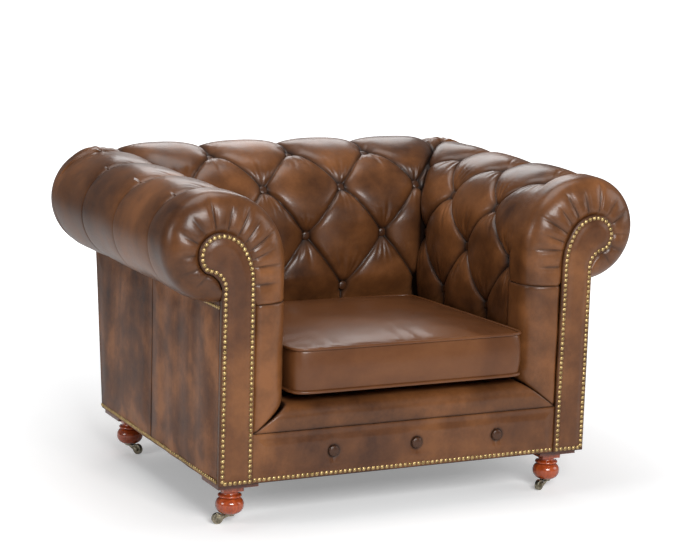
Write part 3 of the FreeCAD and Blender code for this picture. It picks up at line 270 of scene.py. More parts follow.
# reach is measured from the middle plane for the arms and from the front plane for the back
ARM = Roll(face=298, arc_reach=465, arc_z=578, roll_z=625, roll_radius=120, end_reach=460.3,
           rows=(213, 83, -40, -165), tuck=8)
BACK = Roll(face=550, arc_reach=750, arc_z=557, roll_z=629, roll_radius=128,
            end_reach=back_y(BACK_PANEL_TOP), rows=(247, 116, -17, -146), tuck=30)
ARM_PITCH = 211.0
BACK_PITCH = 209.0
FIRST_BUTTON = 130.0
BUTTON_DEPTH = 26.0
TUFT_RADIUS, TUFT_THICK = 11.0, 7.0
CORNER = (ARM.arc_reach, BACK.arc_reach)
# the seam between an arm's buttoned leather and the plain strip below it, as a length along the roll
SEAM = STRIP_TOP - ARM.arc_z
MITRE_SLOPE = (LIP_TOP - LIP_BOTTOM) / (SCROLL_INNER - ARM.face)


# Deep buttoning


DOME_POWER = 0.38
PUFF_DEPTH = 15.0
PLEAT_DEPTH, PLEAT_WIDTH = 3.6, 3.2
LAP_HEIGHT, LAP_WIDTH, LAP_EDGE = 1.3, 9.0, 2.5
PIT = (9.0, 9.0)
FUNNEL = (10.0, 32.0, 1.2)
SEAM_WIDTH = 2.2


def buttoning(roll, along, station, pitch, first, strength, seams):
    """Depth of buttoned leather below its crests, and painted shade by how far each point is down a crease.

    With k the station in pitches and r the number of the row, pleats run where p = k + r / 2 and
    q = k - r / 2 are whole, and a button sits where both are. Between four pleats the leather is a dome,
    the product of a(1 - a) and b(1 - b) to a power. Pleats add a narrow valley, and buttons a pit in a
    wider funnel. Puffs and pleats fade over the roll's top. seams gives stations with their weights."""
    row = np.interp(-along, [-value for value in roll.rows], [0, 1, 2, 3])
    k = (station - first) / pitch
    a = (k + row / 2) % 1
    b = (k - row / 2) % 1
    dome = (16 * a * (1 - a) * b * (1 - b)) ** DOME_POWER
    dome = 1 - (1 - dome) ** 1.5
    spacing = (roll.rows[0] - roll.rows[3]) / 3
    sloped = (row > 0) & (row < 3)
    steep = np.where(sloped, math.hypot(1 / pitch, 0.5 / spacing), 1 / pitch)
    off_a = np.minimum(a, 1 - a) / steep
    off_b = (np.minimum(b, 1 - b) * np.where(b < 0.5, 1, -1)) / steep
    turn = np.degrees((along - roll.ridge) / roll.roll_radius)
    depth = PUFF_DEPTH * (1 - 0.92 * ramp(turn, -5, 85)) * (1 - dome)
    rising, falling = decay(off_a, PLEAT_WIDTH), decay(np.abs(off_b), PLEAT_WIDTH)
    groove = np.where(sloped, falling + 0.6 * rising, rising * 1.2)
    lap = LAP_HEIGHT * hill(off_b, LAP_WIDTH) * np.tanh(off_b / LAP_EDGE)
    fade = 1 - 0.85 * ramp(turn, 15, 65)
    depth = depth + (PLEAT_DEPTH * groove + lap) * fade
    # painted shade in the pleats, then in the pits, in deep leather and along the seams
    crease_shade = groove * fade
    for number, level in enumerate(roll.rows):
        across = ((k - number % 2 / 2 + 0.5) % 1 - 0.5) * pitch
        distance = np.hypot(across, along - level)
        depth = depth + PIT[0] * decay(distance, PIT[1]) + FUNNEL[0] * hill(distance, *FUNNEL[1:])
        crease_shade = crease_shade + 0.9 * hill(distance, 13)
    depth = depth * strength
    # painted shade: deeper leather is painted darker
    crease_shade = crease_shade * strength + 0.5 * np.clip(depth / 30, 0, 1) ** 1.6
    for place, weight in seams:
        line = weight * hill(station - place, SEAM_WIDTH) * ramp(turn, 0, 30)
        depth = depth + 1.5 * line
        crease_shade = crease_shade + 0.45 * line
    return depth, crease_shade


GATHER_COUNT = 6
GATHER_SPREAD = 0.68
GATHER_LENGTH = (45, 105)
GATHER_DEPTH = (1.6, 4.2)


def gathers(roll, along, station, pitch, first, reach, seed):
    """Soft puckers that fan out above and below each button: each is a narrow valley along a ray that
    starts at the button, deepest two fifths of the way out, and shallow above the top row."""
    rng = np.random.default_rng(seed)
    depth = np.zeros_like(station)
    for number, level in enumerate(roll.rows):
        low, high = reach
        count = int((high - low) / pitch) + 3
        for step in range(-2, count):
            place = first + pitch * (step + number % 2 / 2)
            if not low <= place <= high:
                continue
            for side in (1, -1):
                rays = np.linspace(-GATHER_SPREAD, GATHER_SPREAD, GATHER_COUNT)
                for ray in rays + rng.uniform(-0.07, 0.07, GATHER_COUNT):
                    length = rng.uniform(*GATHER_LENGTH)
                    amount = rng.uniform(*GATHER_DEPTH) * (0.3 if number == 0 and side > 0 else 1)
                    up = (along - level) * side
                    across = station - place
                    out = up * math.cos(ray) + across * math.sin(ray)
                    off = across * math.cos(ray) - up * math.sin(ray)
                    width = 2.6 + 0.048 * np.maximum(out, 0)
                    swell = hill(out - 0.42 * length, 0.36 * length) * ramp(out, 3, 14)
                    depth += amount * swell * hill(off, width)
    return depth


def unevenness(along, station, seed):
    """Slow hand-made unevenness: a few long waves in both directions."""
    rng = np.random.default_rng(seed)
    total = np.zeros_like(station)
    for _ in range(7):
        long, across, start = rng.uniform(0.012, 0.035), rng.uniform(0.012, 0.035), rng.uniform(0, 6.28)
        total += np.sin(long * along + across * station * rng.choice([-1, 1]) + start)
    return 0.45 * total


def level_out(radius):
    """How much of the height step between arm and back is taken up at this distance from the corner."""
    return 6.0 * hill(radius, 55)


def mitre_crease(near, upper):
    """The crease where arm and back meet: narrow beside the seat, and as wide as the pit at the top."""
    return 9 * decay(near, 9) * (1 - upper) + 15 * hill(near, 16, 1.1) * upper


def corner_pit(radius, angle):
    """The pulled-in corner of the rolls: a cone, and gathers that run out from it."""
    ripple = 0.91 * np.sin(12 * angle) * ramp(radius, 12, 35) * (1 - ramp(radius, 55, 105))
    return 15 * hill(radius, 16, 1.1) + ripple


def meeting(roll, lengths, near, angle, way):
    """Depth, and painted shade along the crease, beside the other roll. way is -1 on the arm, which rises to
    the back's height, and 1 on the back, which comes down to the arm's."""
    upper = roll.upper(lengths)
    depth = mitre_crease(near, upper) + way * level_out(near) * upper
    depth += (corner_pit(near, angle) - mitre_crease(near, 1.0)) * (lengths >= roll.ridge)
    # the second value is painted shade that darkens the leather along the crease
    return depth, decay(near, 10)


# Scroll at the arm's front, as (x, z) points of its outline


def scroll_chains():
    """The inner and the outer side of the scroll's outline, both from the foot to the crest."""
    head, radius = (467.0, 612.0), 48.0
    crown, crest = (head[0], 590.0), 70.5

    def on(centre, size, degrees):
        turn = math.radians(degrees)
        return centre[0] + size * math.cos(turn), centre[1] + size * math.sin(turn)

    top = on(crown, crest, 90)
    shoulder = on(crown, crest, 147)
    inner = np.concatenate([
        [(SCROLL_INNER, BASE_BOTTOM)],
        arc_points((384, 548), (390.5, 590), shoulder, 24),
        arc_points(shoulder, on(crown, crest, 118), top, 24)[1:]])
    foot = on(head, radius, -50)
    late = on(head, radius, 70)
    outer = np.concatenate([
        [(HALF, BASE_BOTTOM)],
        arc_points((HALF, 535), (473.5, 563), foot, 20),
        arc_points(foot, on(head, radius, 10), late, 30)[1:],
        arc_points(late, on(head, radius, 82), top, 8)[1:]])
    return inner, outer


INNER_CHAIN, OUTER_CHAIN = scroll_chains()


def scroll_path(amount):
    """Points of the scroll's outline by their length along it, from the inner edge at the strip's top,
    over the head, to the outer edge below the roll."""
    return walk(np.concatenate([INNER_CHAIN, OUTER_CHAIN[-2::-1]]), amount + STRIP_TOP - BASE_BOTTOM)


# each pair: a length along the arm's roll, and the length along the scroll that its front pleat leads to
SPOKES = ((-400, -322), (-78, 0), (0, 76), (66, 104), (131, 134), (200, 168), (262, 202), (309, 218),
          (356, 236), (403, 254), (450, 273), (497, 292), (545, 315), (590, 338), (618, 357), (644, 385))
# each front pleat: where it lies along the roll, its depth and how far it runs back
FRONT_PLEATS = ((-34, 2.6, 62), (12, 3.0, 76), (52, 2.4, 58), (96, 3.4, 82), (138, 2.6, 60), (183, 3.4, 78),
                (232, 3.0, 62), (287, 3.4, 84), (346, 2.6, 66), (404, 3.2, 74), (462, 2.4, 60),
                (520, 3.0, 76), (572, 2.4, 60))


def front_pleats(along, distance):
    """Gathers round the scroll: sharp creases that fade as they run back, and a swell between them, with
    painted shade in the creases.
    """
    depth = np.zeros_like(along)
    crease_shade = np.zeros_like(along)
    for place, amount, length in FRONT_PLEATS:
        off = along - place - 0.06 * distance * math.sin(place * 0.37)
        length = 1.25 * length
        reach = 1.45 * ramp(distance, 0, 14) * (1 - ramp(distance, 0.45 * length, length))
        crease = decay(np.abs(off), 3.0)
        depth += amount * reach * (crease + 0.35 * hill(off, 13))
        depth += 0.55 * reach * (hill(off - 11, 3.5) + 0.7 * hill(off + 9, 3.0))
        # painted shade along each crease
        crease_shade += 0.55 * reach * crease
    return depth, crease_shade


FRONT_INSET = 3.0
RIM_TURN, RIM_WIDTH = 9.0, 4.0


def arm_cover(name):
    """Right arm in buttoned leather. Rings run round the arm's section. In front they swell from the
    scroll's edge to the full section on a quarter of a superellipse. Behind that they follow the roll to the
    diagonal where it meets the back, and beside the seat a little further."""
    along = ARM.samples(2.6)
    reach, z = ARM.at(along)
    spokes = np.interp(along, *zip(*SPOKES))
    kernel = np.hanning(25)
    spokes = np.convolve(np.pad(spokes, 12, mode="edge"), kernel / kernel.sum(), mode="valid")
    scroll = scroll_path(spokes)
    scroll[along < SEAM, 0] = SCROLL_INNER + 2
    scroll[along < SEAM, 1] = z[along < SEAM]
    across, behind = (part[:, None] for part in quarter(34))
    span = np.hypot(reach - scroll[:, 0], z - scroll[:, 1])
    rim = RIM_TURN * decay(across * span, RIM_WIDTH)
    front = grid(scroll[:, 0] + (reach - scroll[:, 0]) * across,
                 FRONT_INSET + (FRONT_ROUND - FRONT_INSET) * behind + rim,
                 scroll[:, 1] + (z - scroll[:, 1]) * across)
    end = BACK.face + (reach - ARM.face) * (CORNER[1] - BACK.face) / (CORNER[0] - ARM.face)
    end = np.where(along < ARM.ridge, end, CORNER[1])
    stop = end + 26 * (1 + ramp(-along, 90, 170)) * ramp(ARM.ridge - along, 50, 160)
    steps = np.linspace(0, 1, 262)[1:, None]
    base = np.concatenate([front, grid(reach, FRONT_ROUND + steps * (stop - FRONT_ROUND), z)])
    station = base[..., 1]
    lengths = np.broadcast_to(along, station.shape)
    distance = np.broadcast_to(path_length(base[:, len(along) // 2])[:, None], station.shape)
    strength = ramp((station - FIRST_BUTTON) / ARM_PITCH, -0.2, -0.02)
    depth, crease_shade = buttoning(ARM, lengths, station, ARM_PITCH, FIRST_BUTTON, strength,
                            ((130, 0.15), (341, 0.3), (552, 1.2)))
    depth += gathers(ARM, lengths, station, ARM_PITCH, FIRST_BUTTON, (FIRST_BUTTON - 1, 560), 4) * strength
    pleats, pleat_shade = front_pleats(lengths, distance)
    near = np.where(lengths < ARM.ridge, end + 15 * (1 - ARM.upper(lengths)) - station,
                    np.hypot(CORNER[1] - station, base[..., 0] - CORNER[0]))
    near = np.maximum(near, 0)
    angle = np.arctan2(base[..., 0] - CORNER[0], CORNER[1] - station + 1e-6)
    valley, edge = meeting(ARM, lengths, near, angle, -1)
    # painted shade along the front pleats and along the mitre crease
    crease_shade += pleat_shade + edge
    depth += pleats + valley + unevenness(lengths, station, 8) * ramp(distance, 5, 40)
    depth += 9 * hill(np.hypot(near, (lengths - ARM.rows[1]) * 0.8), 26, 1.2)
    depth += 26 * ramp(SEAM - lengths, 0, 4) * (1 - ramp(station, STRIP_DEPTH, STRIP_DEPTH + 4))
    depth += ARM.tuck * ramp(-lengths, 150, 230)
    depth += 2.6 * hill(lengths - SEAM, 3.0) * (1 - ramp(distance, 70, 150))
    return cored(name, base + outward(base) * depth[..., None] + TO_FRAME, crease_shade, 0, 440.0, 560.0)


def cored(name, points, crease_shade, axis, place, height):
    """Close each ring behind its leather through two points at this place along the axis: one at the given
    height beside the ring's end, and one level with its foot."""
    high, low = points[:, -1].copy(), points[:, 0].copy()
    high[:, axis] = low[:, axis] = place
    high[:, 2] = height
    rings = np.concatenate([points, high[:, None], low[:, None]], axis=1)
    crease_shade = np.concatenate([crease_shade, np.zeros((len(points), 2))], axis=1)
    return closed_loft(name, rings, np.clip(crease_shade, 0, 1))


def back_cover(name):
    """The back in buttoned leather, as rings round its section from one corner to the other."""
    along = BACK.samples(2.8)
    reach, z = BACK.at(along)
    end = ARM.face + (reach - BACK.face) * (CORNER[0] - ARM.face) / (CORNER[1] - BACK.face)
    end = np.where(along < BACK.ridge, end, CORNER[0])
    stop = end + 30 * ramp(BACK.ridge - along, 50, 170)
    base = grid(np.linspace(-1, 1, 300)[:, None] * stop, reach, z)
    station = base[..., 0]
    lengths = np.broadcast_to(along, station.shape)
    depth, crease_shade = buttoning(BACK, lengths, station, BACK_PITCH, 0.0, np.ones_like(station),
                            ((-418, 1), (-209, 0.5), (0, 0.5), (209, 0.5), (418, 1)))
    depth += gathers(BACK, lengths, station, BACK_PITCH, 0.0, (-320, 320), 11)
    depth += unevenness(lengths, station, 5)
    near = np.where(lengths < BACK.ridge, end + 13 * (1 - BACK.upper(lengths)) - np.abs(station),
                    np.hypot(CORNER[0] - np.abs(station), reach - CORNER[1]))
    near = np.maximum(near, 0)
    angle = math.pi * 1.5 - np.arctan2(reach - CORNER[1], CORNER[0] - np.abs(station) + 1e-6)
    valley, edge = meeting(BACK, lengths, near, angle, 1)
    depth += valley
    depth += BACK.tuck * ramp(-lengths, 110, 200) * (1 - 0.5 * ramp(depth, 5, 20))
    # painted shade in the creases and pits, and along the mitre crease
    return cored(name, base - outward(base) * depth[..., None] + TO_FRAME, crease_shade + edge, 1, FRONT + 765, 582.0)


def corner_cover(name):
    """The puffed rear corner: the roll's half circle turned a quarter about the upright through the
    corner, while its size goes smoothly from the arm's to the back's."""
    turns = np.linspace(0, math.pi / 2, 70)[:, None]
    angles = np.linspace(0.02, math.pi - 0.02, 120)
    blend = ramp(turns, 0, math.pi / 2)
    radius = ARM.roll_radius + (BACK.roll_radius - ARM.roll_radius) * blend
    centre = ARM.roll_z + (BACK.roll_z - ARM.roll_z) * blend
    reach = radius * np.sin(angles)
    top = angles < 1.6
    depth = corner_pit(reach, turns + math.pi / 2) - level_out(reach) * (1 - 2 * blend) * top
    out = (radius - depth) * np.sin(angles)
    points = grid(CORNER[0] + out * np.cos(turns), FRONT + CORNER[1] + out * np.sin(turns),
                  centre + (radius - depth) * np.cos(angles))
    core = grid(CORNER[0] - 12, FRONT + CORNER[1] - 12, np.full_like(turns, 625))
    # painted shade round the corner's pit
    crease_shade = np.concatenate([decay(reach, 10) * top, np.zeros_like(turns)], axis=1)
    return closed_loft(name, np.concatenate([points, core], axis=1), crease_shade)


# Plain leather: border strips, lip, front border, facings and outside panels


def strip_cover(name):
    """The plain strip up the arm's front, in section the same superellipse as the arm above it."""
    across, behind = quarter(30)
    x = SCROLL_INNER - 0.5 + (ARM.face - SCROLL_INNER + 0.5) * across
    x = np.concatenate([x, np.full(6, float(ARM.face))])
    y = np.concatenate([BORDER_INSET + (FRONT_ROUND - BORDER_INSET) * behind,
                        np.linspace(FRONT_ROUND, STRIP_DEPTH, 7)[1:]])
    y = y + RIM_TURN * decay(SCROLL_INNER - x, RIM_WIDTH)
    low = LIP_TOP - (x - ARM.face) * MITRE_SLOPE
    z = low + np.linspace(0, 1, 90)[:, None] * (STRIP_TOP - low)
    points = grid(x, y, z)
    top_off = STRIP_TOP - z
    low_off = (z - low) * 0.8
    depth = 3.2 * (decay(top_off, 2.6) + decay(low_off, 2.6)) + 0.5 * np.sin(z * 0.045 + x * 0.05)
    face = points - outward(points) * depth[..., None]
    back = grid(np.linspace(SCROLL_INNER - 1, 340, len(x)), np.linspace(34, STRIP_DEPTH, len(x)), z)
    # painted shade along the strip's top and bottom seams
    crease_shade = decay(top_off, 2) + decay(low_off, 2)
    return closed_sheet(name, face + TO_FRAME, back + TO_FRAME, np.clip(crease_shade, 0, 1))


LIP_ROUND = 34.0


def lip_cover(name):
    """The roll under the cushion: a section with a full front, carried across and cut on the mitres."""
    across, behind = quarter(22, 2.2)
    y = np.concatenate([np.full(10, BORDER_INSET), BORDER_INSET + LIP_ROUND * behind,
                        np.linspace(BORDER_INSET + LIP_ROUND, LIP_DEPTH, 8)[1:]])
    z = np.concatenate([np.linspace(LIP_BOTTOM, LIP_TOP - LIP_ROUND, 11)[:-1],
                        LIP_TOP - LIP_ROUND * (1 - across), np.full(7, LIP_TOP)])
    end = SCROLL_INNER - (z - LIP_BOTTOM) / MITRE_SLOPE
    x = np.linspace(-1, 1, 160)[:, None] * end
    points = grid(x, y, z)
    side = (end - np.abs(x)) * 0.8
    low = z - LIP_BOTTOM
    bulge = 3.0 * np.sin(low / (LIP_TOP - LIP_BOTTOM) * math.pi) * (y < LIP_DEPTH / 2)
    depth = 3.2 * decay(side, 2.6) + 4.0 * decay(low, 3.0) - bulge + 0.4 * np.sin(x * 0.03 + z * 0.06)
    face = points - outward(points) * depth[..., None]
    back = grid(x, np.linspace(30, LIP_DEPTH, len(y)), np.linspace(LIP_BOTTOM, LIP_TOP - 30, len(y)))
    # painted shade along the mitres and along the bottom edge
    crease_shade = decay(side, 2) + decay(low, 3)
    return closed_sheet(name, face + TO_FRAME, back + TO_FRAME, np.clip(crease_shade, 0, 1))


BORDER_BUTTONS = (-186.0, 21.0, 228.0)
BORDER_BUTTON_Z = 161.0
BORDER_BUTTON_RADIUS = 12.5


def border_cover(name):
    """The flat border under the lip: softly padded, drawn in at its three buttons with upright puckers."""
    x = np.linspace(-SCROLL_INNER + 0.5, SCROLL_INNER - 0.5, 300)
    z = np.linspace(BASE_BOTTOM, LIP_BOTTOM - 0.4, 60)[:, None]
    edge = inset(x, -SCROLL_INNER, SCROLL_INNER, z, BASE_BOTTOM, LIP_BOTTOM)
    out = 3.4 * ramp(edge, 10, 30) + 1.2 * ramp(edge, 0, 3) - 1.0
    crease_shade = np.zeros_like(edge)
    rng = np.random.default_rng(3)
    for place in BORDER_BUTTONS:
        radius = np.hypot(x - place, z - BORDER_BUTTON_Z)
        out = out - 6.0 * hill(radius, 18)
        # painted shade in a ring round each button
        crease_shade = crease_shade + hill(radius - BORDER_BUTTON_RADIUS, 4.0)
        for side in (1, -1):
            for shift in rng.uniform(-11, 11, 4):
                off = x - place - shift
                height = (z - BORDER_BUTTON_Z) * side
                out = out - 0.9 * hill(off, 2.6) * ramp(height, 4, 14) * (1 - ramp(height, 16, 42))
    out = out + 0.5 * np.sin(x * 0.045 + 0.6) * np.sin(z * 0.03) + 0.3 * np.sin(x * 0.11)
    y = FRONT + BORDER_FACE
    return closed_sheet(name, grid(x, y - out, z), grid(x, y + 8, z), np.clip(crease_shade, 0, 1))


FACING_THICK = 14.6
NAIL_LINE = 7.0


def facing_cover(name):
    """The scroll's leather: rows at each height between the outline's two sides, puffed inside the line
    of nails and rounded over at the rim by the distance to the outline."""
    top = INNER_CHAIN[-1, 1]
    share = np.linspace(0, 1, 260)
    z = top - 0.02 - (top - BASE_BOTTOM - 0.02) * (1 - share) ** 1.35
    left = np.interp(z, INNER_CHAIN[:, 1], INNER_CHAIN[:, 0])
    right = np.interp(z, OUTER_CHAIN[:, 1], OUTER_CHAIN[:, 0])
    across = 0.5 - 0.5 * np.cos(np.linspace(0, math.pi, 34))
    x = left[:, None] + (right - left)[:, None] * across
    z = np.broadcast_to(z[:, None], x.shape)
    outline = np.concatenate([INNER_CHAIN, OUTER_CHAIN[::-1]])
    outline = np.concatenate([outline, outline[:1]])
    distance = np.full(x.shape, 1e9)
    for first, last in zip(outline[:-1], outline[1:]):
        way = last - first
        off_x, off_z = x - first[0], z - first[1]
        share = np.clip((off_x * way[0] + off_z * way[1]) / max(way @ way, 1e-9), 0, 1)
        distance = np.minimum(distance, np.hypot(off_x - share * way[0], off_z - share * way[1]))
    out = -1.9 * (1 - ramp(distance, 0, 2.2)) + 0.2 + 4.2 * ramp(distance, 9.5, 27)
    out = out - 0.5 * hill(distance - NAIL_LINE, 3)
    face = grid(x, FRONT - out, z)
    back = grid(x, FRONT + FACING_THICK, z)
    # painted shade along the line of nails and at the rim
    crease_shade = 0.5 * hill(distance - NAIL_LINE, 4) + 0.6 * (1 - ramp(distance, 0, 2.5))
    return closed_sheet(name, face, back, crease_shade)


def panel_cover(name, first, last, seed):
    """An outside panel: flat leather over board, a little full inside its nails, with long soft waves.
    last is None where the rear edge leans with the back."""
    z = np.linspace(BASE_BOTTOM, PANEL_TOP + 9, 130)[:, None]
    end = back_y(z) if last is None else np.full_like(z, last)
    share = np.linspace(0, 1, 110)
    y = first + share * (end - first)
    edge = np.minimum(y - first, end - y)
    out = 1.4 * ramp(edge, 0, 3.0) - 1.6
    out = out + 2.4 * ramp(inset(y, first - 6, end + 6, z, BASE_BOTTOM, PANEL_TOP), 10, 60)
    rng = np.random.default_rng(seed)
    for _ in range(5):
        waves = y * rng.uniform(0.02, 0.07) + z * rng.uniform(-0.012, 0.012) + rng.uniform(0, 6)
        out = out + 0.35 * np.sin(waves)
    back = grid(HALF - 4, FRONT + y, z)
    # painted shade along the panel's front and rear edges
    return closed_sheet(name, grid(HALF + out, FRONT + y, z), back, np.clip(decay(edge, 2.0), 0, 1))


def back_panel_cover(name):
    """The outside back: one wide panel that leans, full inside its nails."""
    x = np.linspace(-HALF + 1, HALF - 1, 170)
    z = np.linspace(BASE_BOTTOM, BACK_PANEL_TOP + 11, 130)[:, None]
    edge = inset(x, -HALF, HALF, z, BASE_BOTTOM, BACK_PANEL_TOP)
    out = 1.4 * ramp(edge, 0, 3.0) - 1.5 + 3.0 * ramp(edge, 10, 70)
    out = out + 0.5 * np.sin(x * 0.021 + 1) + 0.4 * np.sin(x * 0.047 + z * 0.006) + 0.3 * np.sin(x * 0.09 + 2)
    y = FRONT + back_y(z)
    # painted shade round the panel's edges
    return closed_sheet(name, grid(x, y + out, z), grid(x, y - 5, z), decay(edge, 2.0))


# Cushion


CUSHION_HALF = 286.0
CUSHION_FRONT = -3.0
CUSHION_REAR = 562.0
CUSHION_BOTTOM = 297.0
CUSHION_HEIGHT = 99.0
CUSHION_CROWN = 27.0
CUSHION_SLOPE = math.radians(1.7)
CUSHION_BEND = 26.0
CUSHION_MIDDLE = np.array([0, (CUSHION_REAR - CUSHION_FRONT) / 2])
PIPING = 3.6


def seated(points):
    """Cushion points from their own level frame to the sloping seat."""
    tilt = np.array([[1, 0, 0], [0, math.cos(CUSHION_SLOPE), math.sin(CUSHION_SLOPE)],
                     [0, -math.sin(CUSHION_SLOPE), math.cos(CUSHION_SLOPE)]])
    return points @ tilt.T + (0, FRONT + CUSHION_FRONT, CUSHION_BOTTOM)


def cushion_outline(count, grow=0.0):
    """Plan of the cushion at even steps: |cos t| and |sin t| to a small power, which is nearly a rectangle,
    with its corners brought in to an arc."""
    turn = np.linspace(0, 2 * math.pi, count, endpoint=False)
    way = np.stack([np.cos(turn), np.sin(turn)], axis=-1)
    size = np.array([CUSHION_HALF, CUSHION_MIDDLE[1]]) + grow
    path = np.abs(way) ** 0.105 * size
    corner = size - CUSHION_BEND
    over = np.maximum(path - corner, 0)
    scale = np.minimum(1, CUSHION_BEND / np.maximum(np.hypot(*over.T), 1e-9))[:, None]
    path = np.sign(way) * np.where(path > corner, corner + over * scale, path) + CUSHION_MIDDLE
    closed = np.concatenate([path, path[:1]])
    return walk(closed, np.linspace(0, path_length(closed)[-1], count, endpoint=False))


def cushion_cover(name):
    """A boxed cushion as rings from the middle of its underside over the boxing to the middle of its top.
    The top is a crown that falls with the powers of x and y, pinched in along the piping."""
    offset = cushion_outline(420) - CUSHION_MIDDLE
    half = CUSHION_MIDDLE[1]
    rings = []

    def ring(flat, height):
        rings.append(np.column_stack([CUSHION_MIDDLE + flat, np.broadcast_to(height, len(flat))]))

    for scale in np.concatenate([np.linspace(0.02, 0.94, 16), np.linspace(0.955, 0.998, 8)]):
        ring(offset * scale, 2.4 * decay((1 - scale) * half, 5))
    length = np.linalg.norm(offset, axis=1, keepdims=True)
    wave = 0.5 * np.sin(np.arange(len(offset)) * 0.21)[:, None]
    for share in np.linspace(0.06, 0.94, 22):
        full = math.sin(math.pi * share)
        ring(offset * (1 + (6.5 * full ** 0.8 + wave * full) / length), CUSHION_HEIGHT * share)
    for scale in np.concatenate([np.linspace(0.998, 0.955, 10), np.linspace(0.94, 0.02, 60)]):
        x, y = (offset * scale).T
        across = np.abs(x) / CUSHION_HALF
        deep = np.abs(y) / half
        crown = CUSHION_CROWN * (1 - across ** 2.6) ** 0.9 * (1 - deep ** 2.4) ** 0.9
        rim = (1 - scale) * half
        puckers = 0.7 * np.sin(x * 0.10 + 2 * np.sin(x * 0.031)) * decay(y + half, 70)
        sides = 0.5 * np.sin((y + half) * 0.11) * decay(CUSHION_HALF - np.abs(x), 40)
        ring(offset * scale,
             CUSHION_HEIGHT + crown - 3.0 * decay(rim, 5) + (puckers + sides) * ramp(rim, 2, 14))
    return closed_loft(name, seated(np.array(rings)))


def cushion_piping(name):
    """Two leather cords round the cushion's edges, each a circle carried round the outline."""
    count, around = 360, 12
    outline = cushion_outline(count, 2.5)
    ahead = np.roll(outline, -1, axis=0) - np.roll(outline, 1, axis=0)
    side = np.stack([ahead[:, 1], -ahead[:, 0]], axis=-1)
    side /= np.linalg.norm(side, axis=1, keepdims=True)
    turn = np.linspace(0, 2 * math.pi, around, endpoint=False)
    flat = outline[:, None] + side[:, None] * (PIPING * np.cos(turn))[None, :, None]
    cords = [seated(grid(flat[..., 0], flat[..., 1], level + PIPING * np.sin(turn))).reshape(-1, 3)
             for level in (3.0, CUSHION_HEIGHT - 1.0)]
    index = np.arange(count * around).reshape(count, around)
    right = np.roll(index, -1, axis=1)
    quads = np.stack([index, right, np.roll(right, -1, axis=0), np.roll(index, -1, axis=0)], axis=-1)
    quads = quads.reshape(-1, 4)
    return add_mesh(name, np.concatenate(cords), [np.concatenate([quads, quads + count * around])])


def deck_pad(name):
    """The padded deck under the cushion: a cloth-covered pad, a little full in the middle, with its four
    sides turned down over its thickness."""
    low, high = (np.array(corner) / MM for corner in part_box("seat_deck_pad"))
    x = np.linspace(low[0] + 1, high[0] - 1, 90)
    y = np.linspace(low[1] + 1, high[1] - 1, 90)[:, None]
    deck = high[2] - (y - low[1]) * math.tan(CUSHION_SLOPE)
    edge = inset(x, low[0], high[0], y, low[1], high[1])
    face = grid(x, y, deck - 6 * (1 - ramp(edge, 0, 24)) - 0.4)
    return closed_sheet(name, face, grid(x, y, deck - 14))


# Buttons


def domed_button(centre, facing, radius, thick):
    """Rings of a covered button: a cap that falls with the square of its radius, over a short side."""
    facing = np.asarray(facing, float)
    facing = facing / np.linalg.norm(facing)
    side = np.cross(facing, (0.3, 0.5, 0.8))
    side /= np.linalg.norm(side)
    other = np.cross(facing, side)
    turn = np.linspace(0, 2 * math.pi, 28, endpoint=False)
    circle = np.cos(turn)[:, None] * side + np.sin(turn)[:, None] * other
    profile = [(0.86, -0.5 * thick), (1.0, -0.2 * thick), (1.0, 0.1 * thick)]
    profile += [(math.sin(a), 0.1 * thick + 0.55 * thick * math.cos(a)) for a in np.linspace(1.35, 0.06, 9)]
    return np.array([np.asarray(centre) + facing * height + circle * radius * share
                     for share, height in profile])


def button_group(name, buttons):
    """All the buttons of one group as one mesh of separate closed solids."""
    points, sides, ends = [], [], []
    for rings in buttons:
        parts = loft_parts(rings, sum(len(part) for part in points))
        for group, part in zip((points, sides, ends), parts):
            group.append(part)
    return add_mesh(name, np.concatenate(points), [np.concatenate(sides), np.concatenate(ends)])


def roll_button(roll, along, origin, way):
    """One tufting button at the bottom of its pit, looking out square to the roll. The roll's section
    starts at origin, with its reach along way."""
    reach, z = roll.at(np.array([along - 1.0, along, along + 1.0]))
    slope = np.array([reach[2] - reach[0], z[2] - z[0]])
    slope /= np.linalg.norm(slope)
    section = np.array([way, (0, 0, 1)], float)
    facing = np.array([-slope[1], slope[0]]) @ section
    centre = origin + np.array([reach[1], z[1]]) @ section - facing * BUTTON_DEPTH
    return domed_button(centre, facing, TUFT_RADIUS, TUFT_THICK)


def arm_buttons(name):
    """Both arms' buttons: three in the first and third rows, and two between them in the others."""
    return button_group(name, [
        roll_button(ARM, ARM.rows[row], (0, FRONT + FIRST_BUTTON + ARM_PITCH * number, 0), (side, 0, 0))
        for numbers, rows in (((0, 1, 2), (0, 2)), ((0.5, 1.5), (1, 3)))
        for number in numbers for row in rows for side in (1, -1)])


def back_buttons(name):
    """The back's buttons: rows of three, four, three and two."""
    rows = ((-1, 0, 1), (-1.5, -0.5, 0.5, 1.5), (-1, 0, 1), (-0.5, 0.5))
    return button_group(name, [roll_button(BACK, level, (BACK_PITCH * number, FRONT, 0), (0, 1, 0))
                               for level, numbers in zip(BACK.rows, rows) for number in numbers])


def border_button_set(name):
    """The three covered buttons of the front border."""
    return button_group(name, [domed_button((x, FRONT + BORDER_FACE - 1.2, BORDER_BUTTON_Z), (0, -1, 0),
                                            BORDER_BUTTON_RADIUS, 8.0) for x in BORDER_BUTTONS])


# Materials


